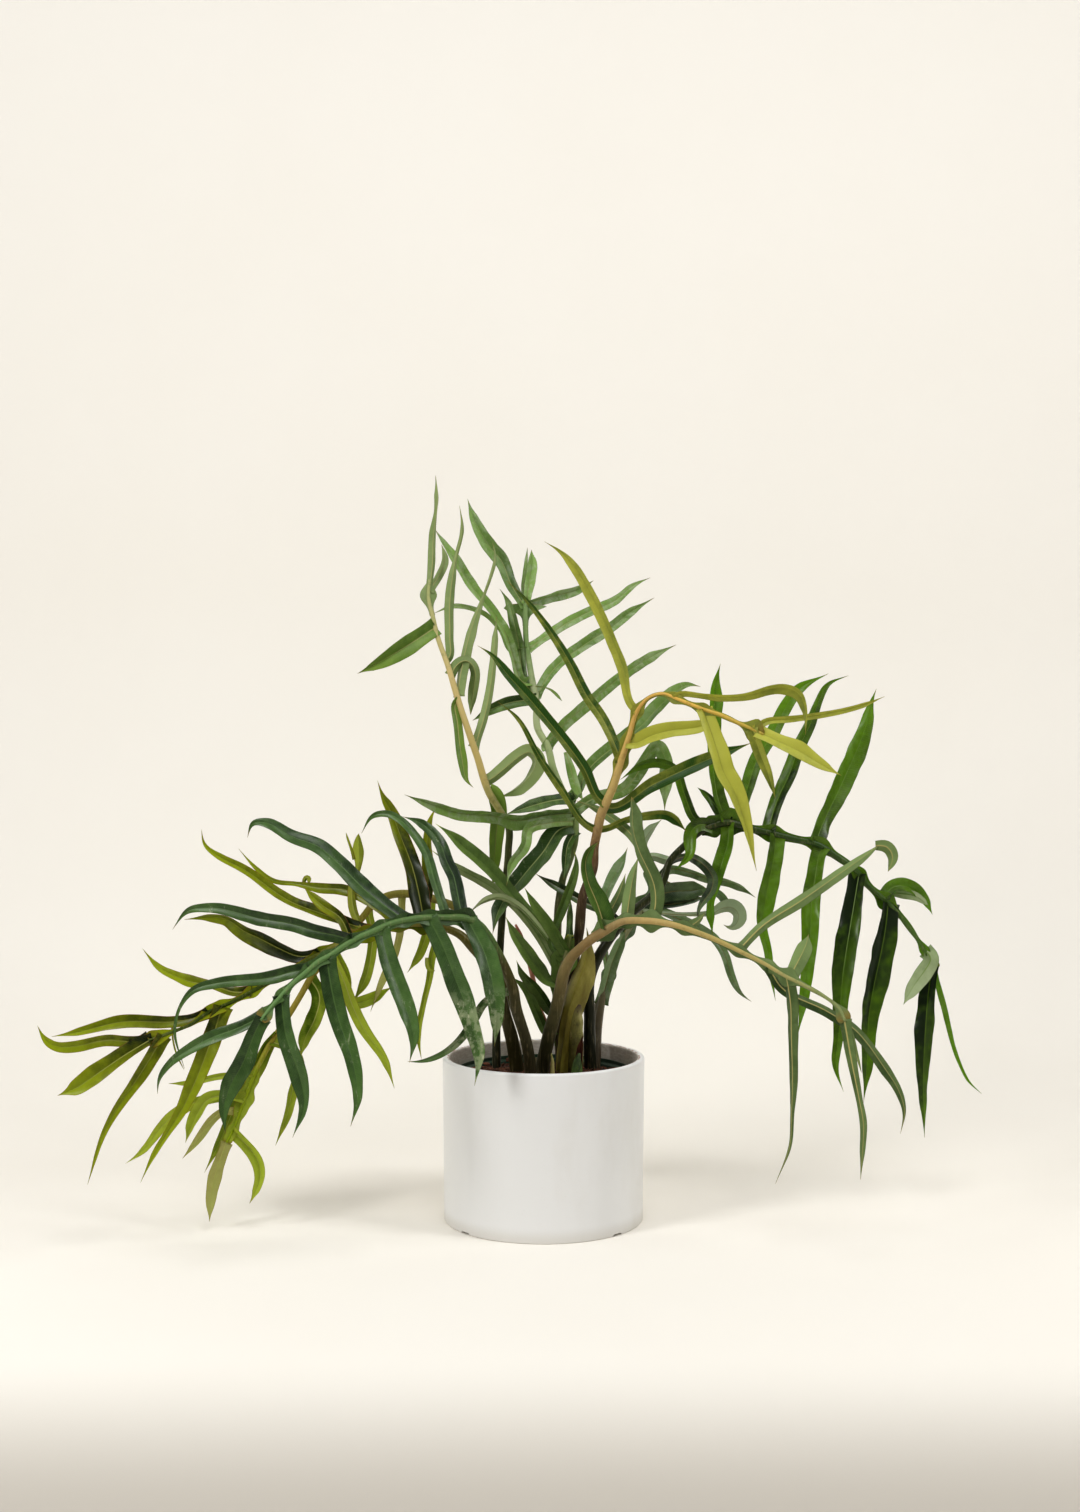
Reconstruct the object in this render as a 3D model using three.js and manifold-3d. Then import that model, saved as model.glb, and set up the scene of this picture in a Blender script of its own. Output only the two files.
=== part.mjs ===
// Potted fern-leaf philodendron: ten deeply cut leaves on long petioles, growing from a short
// stem in a plastic nursery pot of bark mix, which stands inside a white ceramic planter.
// Millimetres, +Z up. The origin is the middle of the planter's foot, on the surface it stands
// on, and -Y is the front.
import * as THREE from 'three';
import { mergeVertices } from 'three/addons/utils/BufferGeometryUtils.js';
import Module from 'manifold-3d';

const wasm = await Module();
wasm.setup();

// Driving dimensions of the planter
const POT_HEIGHT = 161;
const POT_RIM_RADIUS = 101;
const POT_FOOT_RADIUS = 99;
const POT_WALL = 7;
const POT_FLOOR = 12;
const POT_FOOT_WIDTH = 11;
const POT_FOOT_RECESS = 3;
const POT_CENTRE_FOOT_RADIUS = 26;
const POT_DRAIN_RADIUS = 6;
const POT_DRAIN_CIRCLE = 56;
const POT_DRAINS = 3;
const NOTCH_WIDTH = 11;
const NOTCH_HEIGHT = 2;
const NOTCH_ANGLES = [-50, 46, 134, 226];

// Driving dimensions of the nursery pot and its mix
const NURSERY_TOP = 147;
const NURSERY_TOP_RADIUS = 85;
const NURSERY_BASE_RADIUS = 68;
const NURSERY_WALL = 1.3;
const NURSERY_LIP = 3.5;
const NURSERY_LIP_HEIGHT = 6;
const NURSERY_HOLE_RADIUS = 6;
const NURSERY_HOLES = 6;
const NURSERY_HOLE_CIRCLE = 48;
const MIX_EDGE_HEIGHT = 140;
const MIX_CROWN_HEIGHT = 147;

// Clearance between pieces that touch, and the steps round a turned piece
const GAP = 0.3;
const ROUND_STEPS = 40;

// Sections of the leaves
const STALK_SIDES = 6;
const LEAST_STALK = 3;
const LOBE_THICKNESS = 1.5;
const LOBE_TIP_THICKNESS = 0.7;
const LOBE_ROLL = 0.55;
const LEAST_EDGE = 0.02;

// The leaves are drawn in front view, in the plane of the pot's axis, and each point then
// slides along the line of sight from this eye point to its own depth behind that plane.
const EYE = new THREE.Vector3(-3.5, -1800, 481);

// Each leaf. stalk: petiole then midrib, as [across, up, depth, thickness].
// lobes: how much further back the tip lies than the base, then [across, up, width] points.
const LEAVES = {
  leaf_upper_left: {
    stalk: [
      [-46, 114, 36, 9], [-47, 151, 36, 9], [-47, 187, 39, 8], [-45, 237, 44, 7.5], [-40, 317, 56, 7],
      [-35, 367, 62, 7], [-35, 390, 62, 7], [-43, 405, 62, 7], [-53, 421, 62, 7.5], [-67, 462, 67, 7],
      [-77, 491, 70, 6.5], [-90, 532, 78, 6], [-95, 549, 82, 5.5], [-106, 580, 91, 5],
      [-111, 601, 98, 4.5], [-115, 619, 103, 4], [-114, 637, 108, 3.5],
    ],
    lobes: [
      [24, [-115, 619, 4.8], [-110, 682, 6.5], [-108, 741, 1]],
      [30, [-114, 625, 5.6], [-98, 657, 7], [-102, 672, 1]],
      [-30, [-109, 589, 13.6], [-138, 570, 19], [-158, 558, 15], [-186, 543, 1]],
      [40, [-96, 557, 6.4], [-91, 639, 7.5], [-81, 689, 3.5], [-84, 711, 1]],
      [45, [-86, 521, 7.6], [-73, 585, 9], [-52, 643, 3], [-48, 661, 4], [-51, 674, 1]],
      [50, [-69, 469, 6.8], [-60, 497, 8.5], [-52, 557, 7.5], [-47, 600, 1]],
      [20, [-93, 541, 7.2], [-86, 553, 9], [-77, 557, 9], [-69, 549, 9], [-70, 527, 10], [-73, 502, 4]],
      [-20, [-87, 515, 6.4], [-81, 454, 9], [-76, 434, 4], [-70, 429, 1]],
      [24, [-55, 436, 8.8], [-11, 464, 12], [-6, 455, 13], [-13, 441, 12], [-42, 420, 6]],
      [24, [-51, 425, 12], [-47, 417, 15], [-48, 377, 13], [-51, 328, 1]],
    ],
  },
  leaf_back_center: {
    stalk: [
      [18, 117, 54, 10], [17, 151, 54, 10], [15, 217, 62, 9], [14, 277, 70, 8], [16, 319, 76, 8],
      [20, 340, 80, 7], [26, 355, 82, 6.5], [32, 377, 86, 6], [32, 392, 90, 7], [32, 402, 92, 7],
      [17, 429, 100, 8], [10, 447, 106, 7.5], [4, 470, 112, 7], [-6, 489, 118, 7], [-7, 515, 126, 7],
      [-12, 540, 134, 6.5], [-15, 559, 141, 6], [-17, 572, 145, 5.5], [-18, 591, 152, 5.5],
      [-18, 613, 160, 5],
    ],
    lobes: [
      [30, [-18, 611, 5.6], [-12, 655, 9], [-12, 667, 1]],
      [44, [-18, 617, 3.2], [-16, 669, 1]],
      [30, [-17, 613, 6.4], [35, 627, 8], [50, 636, 1]],
      [50, [-16, 567, 7.2], [46, 605, 9.5], [72, 616, 8], [107, 639, 1]],
      [60, [-8, 517, 7.2], [11, 548, 10], [85, 603, 9], [111, 619, 1]],
      [50, [3, 467, 8], [13, 484, 10], [40, 509, 11.5], [112, 562, 9], [133, 572, 1]],
      [24, [27, 417, 8.8], [45, 447, 11], [122, 516, 12], [146, 532, 8], [157, 530, 1]],
      [-20, [31, 405, 8.8], [47, 417, 11], [79, 426, 12], [117, 469, 13], [123, 455, 14],
       [122, 427, 13], [121, 405, 1]],
      [30, [-18, 609, 6.4], [-42, 656, 13.5], [-54, 670, 14], [-76, 718, 1]],
      [30, [-10, 520, 6.4], [-16, 529, 8], [-30, 596, 9], [-44, 628, 1]],
      [20, [-18, 533, 7.2], [-47, 599, 8.5], [-88, 656, 8.5], [-109, 688, 1]],
      [6, [-32, 565, 4], [-42, 587, 5], [-60, 604, 4.5], [-89, 611, 4.5], [-110, 603, 1]],
      [-20, [-8, 517, 8.8], [-38, 513, 12.5], [-71, 496, 1]],
      [-60, [27, 417, 8.8], [-11, 411, 12], [-38, 402, 1]],
      [-110, [32, 404, 10.4], [-29, 396, 14], [-82, 403, 11], [-123, 416, 8], [-139, 422, 1]],
      [-60, [32, 391, 12.8], [17, 388, 16], [-21, 340, 17], [-46, 304, 12], [-51, 282, 1]],
      [-30, [31, 385, 7.2], [22, 355, 9], [20, 337, 1]],
      [-86, [29, 395, 7.2], [-16, 387, 11], [-18, 372, 10], [-33, 351, 8], [-37, 331, 1]],
    ],
  },
  leaf_center: {
    stalk: [
      [23, 117, 26, 10], [22, 151, 26, 10], [26, 207, 19, 10], [31, 257, 14, 10], [36, 287, 10, 10],
      [39, 319, 6, 9.5], [50, 350, 2, 9], [51, 371, -1, 9], [54, 386, -4, 9.5], [58, 403, -8, 9.5],
      [62, 412, -10, 9], [68, 426, -14, 8.5], [77, 454, -22, 7.5], [86, 482, -29, 6.5],
      [92, 502, -34, 5.5], [97, 511, -39, 4.5], [105, 519, -44, 3.6], [120, 523, -52, 3.6],
      [133, 518, -57, 4], [148, 512, -63, 4.5], [164, 506, -70, 4.5], [179, 501, -75, 4.5],
      [194, 494, -81, 4.5], [210, 487, -86, 4], [220, 482, -90, 3.5],
    ],
    lobes: [
      [30, [93, 507, 5.6], [70, 573, 9.5], [45, 626, 10.5], [17, 665, 5], [1, 675, 1]],
      [36, [76, 455, 7.2], [59, 498, 10], [27, 553, 9], [-3, 599, 5.5], [-37, 636, 1]],
      [20, [60, 414, 8], [40, 449, 10], [-1, 502, 10.5], [-52, 562, 6], [-66, 571, 1]],
      [10, [52, 388, 5.6], [17, 430, 7], [-29, 502, 3.5], [-46, 515, 1]],
      [10, [57, 388, 4.8], [82, 397, 6], [125, 402, 9], [134, 395, 8.5], [143, 385, 1]],
      [40, [63, 409, 8], [157, 454, 13.5], [209, 474, 1]],
      [-10, [89, 473, 12], [121, 485, 15.5], [157, 490, 12.5], [174, 495, 1]],
      [-30, [132, 520, 4], [199, 520, 7], [242, 529, 10], [255, 524, 10], [262, 507, 6], [262, 482, 1]],
      [-30, [160, 508, 12], [180, 444, 19], [197, 407, 13], [213, 346, 1]],
      [-6, [208, 487, 8.8], [217, 462, 11], [232, 418, 1]],
      [20, [211, 487, 4.8], [222, 495, 6], [298, 508, 6], [341, 520, 1]],
      [-24, [214, 486, 10.4], [254, 466, 17], [298, 441, 1]],
    ],
  },
  leaf_right: {
    stalk: [
      [49, 115, 24, 12], [47, 149, 24, 12], [46, 197, 25, 12], [47, 241, 26, 11], [62, 272, 28, 10],
      [87, 302, 31, 9], [118, 332, 34, 8], [127, 356, 36, 7.5], [140, 370, 37, 7], [157, 385, 38, 7],
      [183, 394, 42, 8], [208, 388, 46, 8], [230, 383, 49, 7.5], [250, 378, 52, 7.5], [275, 372, 55, 7],
      [292, 361, 58, 7], [312, 347, 61, 6.5], [326, 330, 64, 6], [342, 316, 66, 6], [357, 301, 68, 5.5],
      [371, 282, 70, 5], [382, 265, 71, 4.5], [390, 248, 72, 4],
    ],
    lobes: [
      [10, [390, 250, 4], [416, 153, 3], [425, 135, 2.5], [438, 123, 1]],
      [50, [183, 395, 9.6], [174, 420, 12], [170, 451, 12.5], [171, 515, 12.6], [177, 553, 1]],
      [64, [194, 393, 9.6], [213, 456, 13], [241, 507, 12], [255, 527, 10], [285, 543, 1]],
      [70, [225, 386, 10.4], [255, 468, 13], [275, 515, 7], [284, 532, 5], [305, 541, 1]],
      [64, [273, 375, 12], [314, 468, 18], [333, 528, 1]],
      [24, [341, 318, 8.8], [348, 329, 11], [359, 331, 13], [370, 327, 12], [389, 302, 1]],
      [-16, [381, 266, 10.4], [388, 260, 13], [369, 229, 14], [360, 212, 1]],
      [-20, [169, 390, 9.6], [158, 393, 12], [148, 387, 13], [147, 364, 9], [132, 347, 1]],
      [30, [169, 388, 7.2], [154, 395, 9], [130, 449, 9], [118, 454, 9], [97, 451, 8], [77, 437, 1]],
      [-20, [185, 392, 10.4], [178, 351, 14], [168, 315, 6], [168, 300, 8], [169, 281, 1]],
      [-30, [232, 381, 11.2], [224, 327, 17.5], [218, 291, 9], [232, 216, 1]],
      [-34, [278, 367, 12.4], [267, 285, 16], [254, 180, 1]],
      [-36, [315, 342, 13.6], [306, 285, 21], [300, 248, 20.5], [292, 150, 7], [300, 125, 1]],
      [-30, [345, 314, 13.6], [337, 262, 22], [331, 234, 20.5], [320, 114, 1]],
      [-20, [389, 251, 12], [382, 187, 18], [381, 79, 1]],
      [26, [185, 394, 8], [176, 405, 10], [154, 429, 1]],
    ],
  },
  leaf_front_right: {
    stalk: [
      [-2, 113, -20, 14], [-1, 149, -20, 14], [5, 179, -24, 13.5], [12, 204, -28, 13],
      [17, 226, -33, 12.5], [21, 245, -37, 11.5], [28, 259, -40, 10.5], [39, 270, -45, 10],
      [50, 279, -50, 9.5], [62, 286, -55, 9], [79, 295, -62, 8.5], [101, 296, -70, 8.5],
      [129, 292, -80, 7.5], [157, 283, -91, 6.5], [185, 271, -102, 6], [199, 264, -108, 5.5],
      [219, 254, -116, 5], [241, 241, -126, 4.5], [261, 231, -135, 4.5], [281, 220, -143, 4],
      [295, 209, -150, 4], [302, 195, -156, 3.5],
    ],
    lobes: [
      [-20, [301, 197, 8], [320, 94, 7], [317, 37, 1]],
      [10, [298, 203, 4.8], [318, 144, 1]],
      [40, [225, 251, 6.4], [235, 232, 8], [309, 189, 9.5], [342, 147, 10], [361, 105, 5], [357, 83, 1]],
      [-14, [243, 240, 9.2], [248, 187, 9.5], [248, 102, 3.5], [247, 74, 3], [232, 33, 1]],
      [80, [195, 266, 7.2], [217, 289, 9], [298, 344, 10], [340, 375, 1]],
      [40, [246, 239, 10.4], [263, 273, 14], [265, 282, 1]],
      [10, [141, 288, 6.4], [149, 292, 8], [161, 304, 1]],
      [16, [107, 296, 10], [112, 325, 14], [90, 386, 12], [88, 420, 8]],
      [110, [109, 296, 4.8], [109, 332, 6], [94, 372, 7], [74, 394, 9.5], [32, 416, 1]],
      [44, [83, 295, 10.4], [86, 319, 13], [95, 360, 1]],
      [40, [60, 287, 7.2], [74, 318, 10], [82, 343, 1]],
      [26, [62, 286, 12.8], [54, 312, 17], [43, 340, 11.5], [42, 357, 9.5], [56, 375, 1]],
    ],
  },
  leaf_front_left: {
    stalk: [
      [-12, 111, -38, 12], [-13, 145, -38, 12], [-17, 174, -43, 11.5], [-28, 211, -49, 11],
      [-30, 226, -51, 10.5], [-37, 245, -54, 10], [-46, 264, -61, 9.5], [-56, 281, -67, 9],
      [-65, 292, -72, 8.5], [-78, 298, -79, 8.5], [-97, 299, -87, 8.5], [-116, 299, -96, 8],
      [-135, 297, -105, 8], [-152, 293, -114, 7.5], [-171, 285, -124, 7.5], [-187, 278, -132, 7],
      [-199, 271, -138, 7], [-212, 262, -145, 6.5], [-225, 255, -152, 6.5], [-238, 244, -159, 6],
      [-251, 233, -166, 5.5], [-264, 219, -174, 5], [-273, 209, -180, 4.5], [-283, 196, -188, 4],
    ],
    lobes: [
      [70, [-139, 297, 12], [-176, 324, 16.5], [-225, 370, 14.5], [-277, 394, 9.5], [-291, 394, 8],
       [-296, 379, 1]],
      [60, [-191, 276, 9.6], [-283, 298, 13.5], [-335, 309, 9], [-356, 306, 6], [-371, 287, 1]],
      [24, [-234, 247, 9.6], [-268, 240, 13], [-350, 227, 6.5], [-363, 211, 3], [-369, 187, 2.5],
       [-359, 148, 1]],
      [12, [-278, 203, 8.8], [-329, 180, 12.5], [-375, 152, 6], [-385, 137, 4], [-386, 123, 1]],
      [-18, [-281, 199, 11.2], [-301, 152, 20], [-313, 131, 18.5], [-320, 107, 9], [-318, 83, 1]],
      [-20, [-262, 221, 12], [-258, 183, 15], [-243, 137, 17], [-239, 112, 9], [-251, 79, 1]],
      [-26, [-217, 259, 15.2], [-211, 223, 19], [-188, 143, 13], [-186, 117, 8], [-193, 90, 1]],
      [-26, [-162, 288, 13.6], [-136, 204, 16], [-130, 180, 10], [-134, 154, 1]],
      [-30, [-115, 298, 14.4], [-86, 233, 20.5], [-71, 189, 16], [-64, 162, 11], [-69, 131, 1]],
      [-30, [-76, 297, 13.6], [-59, 264, 20], [-49, 223, 19.5], [-49, 170, 1]],
      [70, [-97, 299, 7.2], [-116, 361, 8.5], [-142, 396, 7], [-155, 403, 6.5], [-171, 401, 5],
       [-182, 383, 1]],
      [80, [-81, 298, 10.4], [-90, 341, 12.5], [-102, 371, 11.5], [-125, 395, 7.5], [-141, 400, 1]],
      [34, [-31, 227, 5.6], [-58, 215, 7.5], [-86, 174, 7], [-102, 162, 5.5], [-136, 155, 1]],
    ],
  },
  leaf_left: {
    stalk: [
      [-26, 113, 2, 14], [-27, 151, 2, 14], [-32, 179, -2, 13], [-39, 206, -5, 11.5],
      [-45, 232, -8, 11], [-57, 253, -12, 10.5], [-70, 268, -14, 10], [-84, 282, -18, 8.5],
      [-97, 288, -21, 7.5], [-118, 292, -26, 6.5], [-143, 291, -33, 6], [-168, 285, -39, 6],
      [-193, 277, -46, 6], [-218, 266, -54, 5.5], [-243, 252, -62, 5.5], [-263, 241, -68, 5.5],
      [-283, 230, -75, 5], [-299, 221, -80, 5], [-315, 213, -86, 4.5], [-334, 205, -92, 4.5],
      [-353, 192, -99, 4], [-373, 184, -105, 4], [-395, 176, -112, 3.5],
    ],
    lobes: [
      [40, [-119, 292, 14.4], [-124, 320, 21], [-144, 383, 14], [-166, 436, 1]],
      [60, [-122, 292, 12], [-115, 337, 13], [-116, 380, 7.5], [-107, 410, 1]],
      [50, [-171, 284, 7.2], [-253, 315, 10], [-323, 359, 6.5], [-340, 373, 5], [-342, 387, 1]],
      [70, [-145, 291, 7.2], [-174, 316, 10], [-199, 327, 10.5], [-271, 336, 4.5], [-305, 368, 1]],
      [30, [-193, 277, 7.2], [-203, 299, 9], [-221, 311, 10.5], [-240, 330, 1]],
      [60, [-179, 281, 6.4], [-191, 312, 8], [-191, 332, 7], [-185, 349, 5], [-185, 372, 13],
       [-185, 383, 12]],
      [40, [-223, 264, 9.6], [-244, 260, 12], [-283, 278, 15.5], [-315, 297, 10], [-359, 297, 1]],
      [30, [-291, 225, 7.2], [-308, 224, 9], [-365, 239, 9], [-385, 249, 6], [-401, 268, 1]],
      [16, [-334, 204, 8], [-370, 195, 11], [-421, 195, 13], [-492, 180, 1]],
      [6, [-391, 177, 8], [-434, 177, 11], [-487, 170, 8.5], [-500, 179, 6], [-506, 191, 1]],
      [-10, [-393, 176, 11.2], [-450, 140, 18], [-468, 128, 14], [-486, 121, 1]],
      [-20, [-380, 181, 10.4], [-399, 149, 13], [-439, 85, 5], [-456, 32, 1]],
      [-16, [-321, 211, 15.2], [-332, 177, 19], [-350, 131, 16], [-403, 34, 1]],
    ],
  },
  leaf_left_low: {
    stalk: [
      [-10, 117, 30, 8], [-12, 153, 30, 7.5], [-26, 197, 31, 7.5], [-38, 232, 32, 7.5],
      [-51, 262, 34, 7.5], [-65, 287, 36, 8], [-81, 306, 38, 8], [-93, 312, 39, 8], [-110, 318, 40, 8],
      [-128, 322, 41, 8], [-142, 323, 41, 8], [-155, 321, 42, 7.5], [-169, 313, 40, 7.5],
      [-182, 298, 37, 7], [-203, 275, 32, 7], [-218, 257, 26, 6.5], [-232, 240, 20, 6.5],
      [-243, 221, 14, 6], [-255, 201, 5, 6], [-265, 186, -2, 5.5], [-274, 172, -8, 5.5],
      [-285, 151, -17, 5], [-293, 132, -25, 5], [-301, 112, -34, 4.5], [-308, 92, -42, 4],
      [-317, 74, -50, 3.5],
    ],
    lobes: [
      [-20, [-266, 183, 8], [-277, 172, 10], [-310, 107, 12], [-339, 44, 1]],
      [-4, [-317, 74, 7.2], [-329, 39, 13], [-334, -5, 1]],
      [-6, [-310, 86, 8], [-286, 57, 12], [-283, 42, 10], [-294, 13, 1]],
      [10, [-298, 121, 6.4], [-353, 113, 10], [-375, 97, 11], [-390, 79, 9], [-418, 53, 1]],
      [0, [-300, 117, 6.4], [-319, 121, 8], [-338, 116, 11], [-353, 88, 8], [-358, 74, 1]],
      [0, [-304, 105, 5.6], [-321, 105, 7], [-343, 80, 8], [-361, 58, 1]],
      [14, [-291, 137, 4.8], [-315, 141, 6], [-375, 133, 1]],
      [6, [-234, 238, 10.4], [-224, 223, 13], [-229, 197, 15], [-239, 177, 12], [-243, 159, 1]],
      [-6, [-273, 175, 8], [-253, 167, 10], [-245, 149, 10], [-268, 71, 1]],
      [20, [-213, 264, 7.2], [-182, 192, 11], [-158, 155, 7], [-149, 128, 1]],
      [36, [-210, 267, 6.4], [-197, 242, 8], [-193, 213, 10], [-163, 223, 9], [-151, 230, 1]],
      [20, [-177, 306, 6.4], [-171, 282, 8], [-173, 259, 9], [-179, 235, 9], [-191, 214, 1]],
      [16, [-143, 324, 5.6], [-148, 267, 7], [-173, 205, 1]],
      [14, [-113, 318, 6.4], [-118, 279, 9], [-136, 244, 1]],
      [20, [-98, 314, 5.6], [-119, 217, 5], [-125, 177, 5], [-122, 157, 1]],
    ],
  },
  leaf_inner_front: {
    stalk: [
      [18, 116, 12, 9], [17, 150, 12, 9], [16, 171, 9, 8.5], [14, 197, 6, 8], [13, 217, 2, 7.5],
      [15, 237, -2, 7], [19, 252, -3, 6.5], [24, 267, -4, 5.5], [27, 282, -5, 4.5],
    ],
    lobes: [
      [-18, [23, 264, 8.8], [4, 294, 11], [-19, 329, 1]],
      [-28, [15, 232, 7.2], [4, 235, 9], [-17, 264, 13], [-38, 300, 1]],
      [-34, [13, 207, 6.4], [9, 205, 8], [-10, 231, 10], [-27, 256, 1]],
      [-30, [15, 189, 6.4], [5, 183, 8], [-21, 231, 6], [-33, 240, 1]],
      [26, [21, 259, 5.6], [7, 271, 7], [25, 325, 8.5], [31, 365, 1]],
      [30, [26, 277, 5.6], [27, 302, 6], [27, 317, 1]],
      [60, [19, 252, 6.4], [2, 282, 8], [-23, 312, 10], [-77, 367, 13], [-108, 393, 1]],
      [70, [17, 242, 6.4], [-13, 292, 8], [-35, 317, 9], [-85, 348, 8], [-113, 367, 1]],
      [34, [19, 255, 4.8], [-27, 312, 6], [-45, 320, 6], [-59, 316, 5], [-75, 303, 1]],
    ],
  },
  leaf_right_back: {
    stalk: [
      [49, 116, 40, 12], [51, 151, 40, 12], [54, 197, 51, 11], [60, 227, 58, 9], [69, 252, 67, 8],
      [79, 277, 76, 7], [89, 293, 85, 6.5], [97, 305, 92, 6], [107, 322, 101, 5.5], [115, 339, 110, 5],
    ],
    lobes: [
      [-6, [56, 213, 9.6], [77, 274, 10], [82, 287, 1]],
      [10, [97, 303, 11.2], [112, 320, 14], [147, 326, 17], [163, 328, 12]],
      [0, [102, 312, 6.4], [160, 319, 6]],
      [-10, [112, 332, 6.4], [122, 347, 8], [147, 344, 7], [197, 330, 6], [212, 319, 1]],
      [20, [65, 242, 4.8], [59, 312, 9], [79, 355, 10], [84, 369, 1]],
      [34, [114, 337, 4.8], [104, 360, 7], [124, 356, 9], [137, 360, 1]],
      [40, [113, 335, 5.6], [100, 375, 8], [107, 386, 8.5], [118, 397, 1]],
      [-14, [113, 335, 4.8], [147, 322, 6], [173, 324, 7], [188, 303, 8]],
      [-176, [115, 339, 4], [129, 356, 5], [145, 360, 7], [165, 347, 10], [170, 337, 10], [154, 303, 5],
       [156, 294, 1]],
      [-34, [85, 287, 6.4], [62, 305, 8], [16, 329, 9], [-8, 343, 1]],
      [-20, [102, 312, 7.2], [172, 277, 8.5], [197, 223, 5], [208, 215, 1]],
      [-36, [97, 305, 3.2], [153, 302, 4], [189, 310, 14], [196, 303, 13], [194, 293, 12],
       [186, 288, 8], [180, 292, 1]],
    ],
  },
};

// Young and old growth at the crown, as [across, up, depth, thickness]
const CROWN = {
  main_stem: [[-4, 96, 6, 22], [-4, 128, 6, 22], [-4, 151, 6, 20], [-3, 158, 6, 12]],
  old_stump: [[32, 110, 2, 15], [32, 150, 2, 15], [32, 180, 1, 16], [32, 208, 1, 14], [33, 217, 1, 9]],
  cataphyll_yellow: [
    [17, 112, -10, 9], [17, 150, -10, 9], [22, 190, -9, 10], [28, 221, -9, 11], [38, 243, -10, 12],
    [45, 267, -11, 8], [43, 288, -12, 3],
  ],
  cataphyll_brown_left: [[19, 114, 0, 4.5], [20, 154, 0, 4.5], [20, 184, -1, 4], [21, 199, -2, 3]],
  cataphyll_brown_right: [[37, 112, -12, 4.5], [37, 148, -12, 4.5], [38, 168, -12, 4], [39, 181, -12, 3]],
  new_spear: [[9, 110, -27, 4.5], [9, 140, -27, 4.5], [9, 155, -29, 3.5], [8, 163, -31, 2.5]],
  side_sprout: [[33, 112, -27, 12], [33, 140, -27, 12], [34, 154, -26, 9], [36, 163, -25, 4]],
  dry_petiole: [
    [5, 114, 22, 5], [5, 150, 22, 5], [2, 192, 21, 5], [-4, 209, 20, 5], [-15, 257, 16, 5],
    [-24, 284, 13, 4.5], [-28, 292, 12, 3],
  ],
};

// Loose bark chips on the mix, as [x, y, length, turn in degrees]. Widths, thicknesses and the
// reach of the part that bears on the mix are shares of the length.
const CHIPS = [
  [-68, 8, 19, 20], [-60, -32, 16, 75], [-34, -60, 21, 150], [6, -62, 18, 35], [42, -52, 17, 110],
  [67, -18, 20, 60], [72, 18, 14, 5], [34, 62, 16, 140], [2, 74, 19, 80], [-32, 64, 20, 25],
  [-58, 48, 13, 120], [-14, 50, 13, 60],
];
const CHIP_WIDTH = 0.6;
const CHIP_THICKNESS = 0.36;
const CHIP_BEARING = 0.12;

function solidOf(geometry) {
  const bare = geometry.clone();
  bare.deleteAttribute('normal');
  bare.deleteAttribute('uv');
  const merged = mergeVertices(bare, 1e-4);
  return new wasm.Manifold(new wasm.Mesh({
    numProp: 3,
    vertProperties: new Float32Array(merged.attributes.position.array),
    triVerts: new Uint32Array(merged.index.array),
  }));
}

function geometryOf(solid) {
  const mesh = solid.getMesh();
  const geometry = new THREE.BufferGeometry();
  geometry.setAttribute('position', new THREE.BufferAttribute(mesh.vertProperties, 3));
  geometry.setIndex(new THREE.BufferAttribute(mesh.triVerts, 1));
  geometry.computeVertexNormals();
  return geometry;
}

// A closed solid through rings of equal count, with flat ends
function loft(rings) {
  const count = rings[0].length;
  const last = (rings.length - 1) * count;
  const index = [];
  for (let start = 0; start < last; start += count) {
    for (let k = 0; k < count; k += 1) {
      const next = (k + 1) % count;
      index.push(start + k, start + next, start + next + count);
      index.push(start + k, start + next + count, start + k + count);
    }
  }
  for (let k = 1; k < count - 1; k += 1) {
    index.push(0, k + 1, k);
    index.push(last, last + k, last + k + 1);
  }
  const points = rings.flat().flatMap((point) => point.toArray());
  const geometry = new THREE.BufferGeometry();
  geometry.setAttribute('position', new THREE.Float32BufferAttribute(points, 3));
  geometry.setIndex(index);
  return geometry;
}

// A closed profile of [radius, height] pairs turned about the vertical axis
function turned(profile) {
  const points = profile.map(([radius, height]) => new THREE.Vector2(radius, height));
  return new THREE.LatheGeometry(points, ROUND_STEPS).rotateX(Math.PI / 2);
}

// Front view to space: a point at a depth, and how much larger things are there
function place(across, up, depth) {
  const scale = 1 - depth / EYE.y;
  return new THREE.Vector3(EYE.x + (across - EYE.x) * scale, depth, EYE.z + (up - EYE.z) * scale);
}

function scaleAt(depth) {
  return 1 - depth / EYE.y;
}

// The direction along a line of points at each of them
function directions(points) {
  return points.map((point, i) => {
    const from = points[Math.max(i - 1, 0)];
    const to = points[Math.min(i + 1, points.length - 1)];
    return to.clone().sub(from).normalize();
  });
}

// A round tapering stalk, made thicker all round by a clearance for a socket
function stalkSolid(stalk, clearance = 0) {
  const points = stalk.map(([across, up, depth]) => place(across, up, depth));
  const along = directions(points);
  if (clearance > 0) points[0].addScaledVector(along[0], -clearance);
  const rings = points.map((point, i) => {
    const side = new THREE.Vector3().crossVectors(along[i], new THREE.Vector3(0, 1, 0)).normalize();
    const front = new THREE.Vector3().crossVectors(along[i], side);
    const thickness = Math.max(stalk[i][3], LEAST_STALK);
    const radius = (thickness / 2) * scaleAt(stalk[i][2]) + clearance;
    return Array.from({ length: STALK_SIDES }, (_, k) => {
      const angle = (2 * Math.PI * k) / STALK_SIDES;
      return point.clone()
        .addScaledVector(side, radius * Math.cos(angle))
        .addScaledVector(front, radius * Math.sin(angle));
    });
  });
  return solidOf(loft(rings));
}

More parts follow.
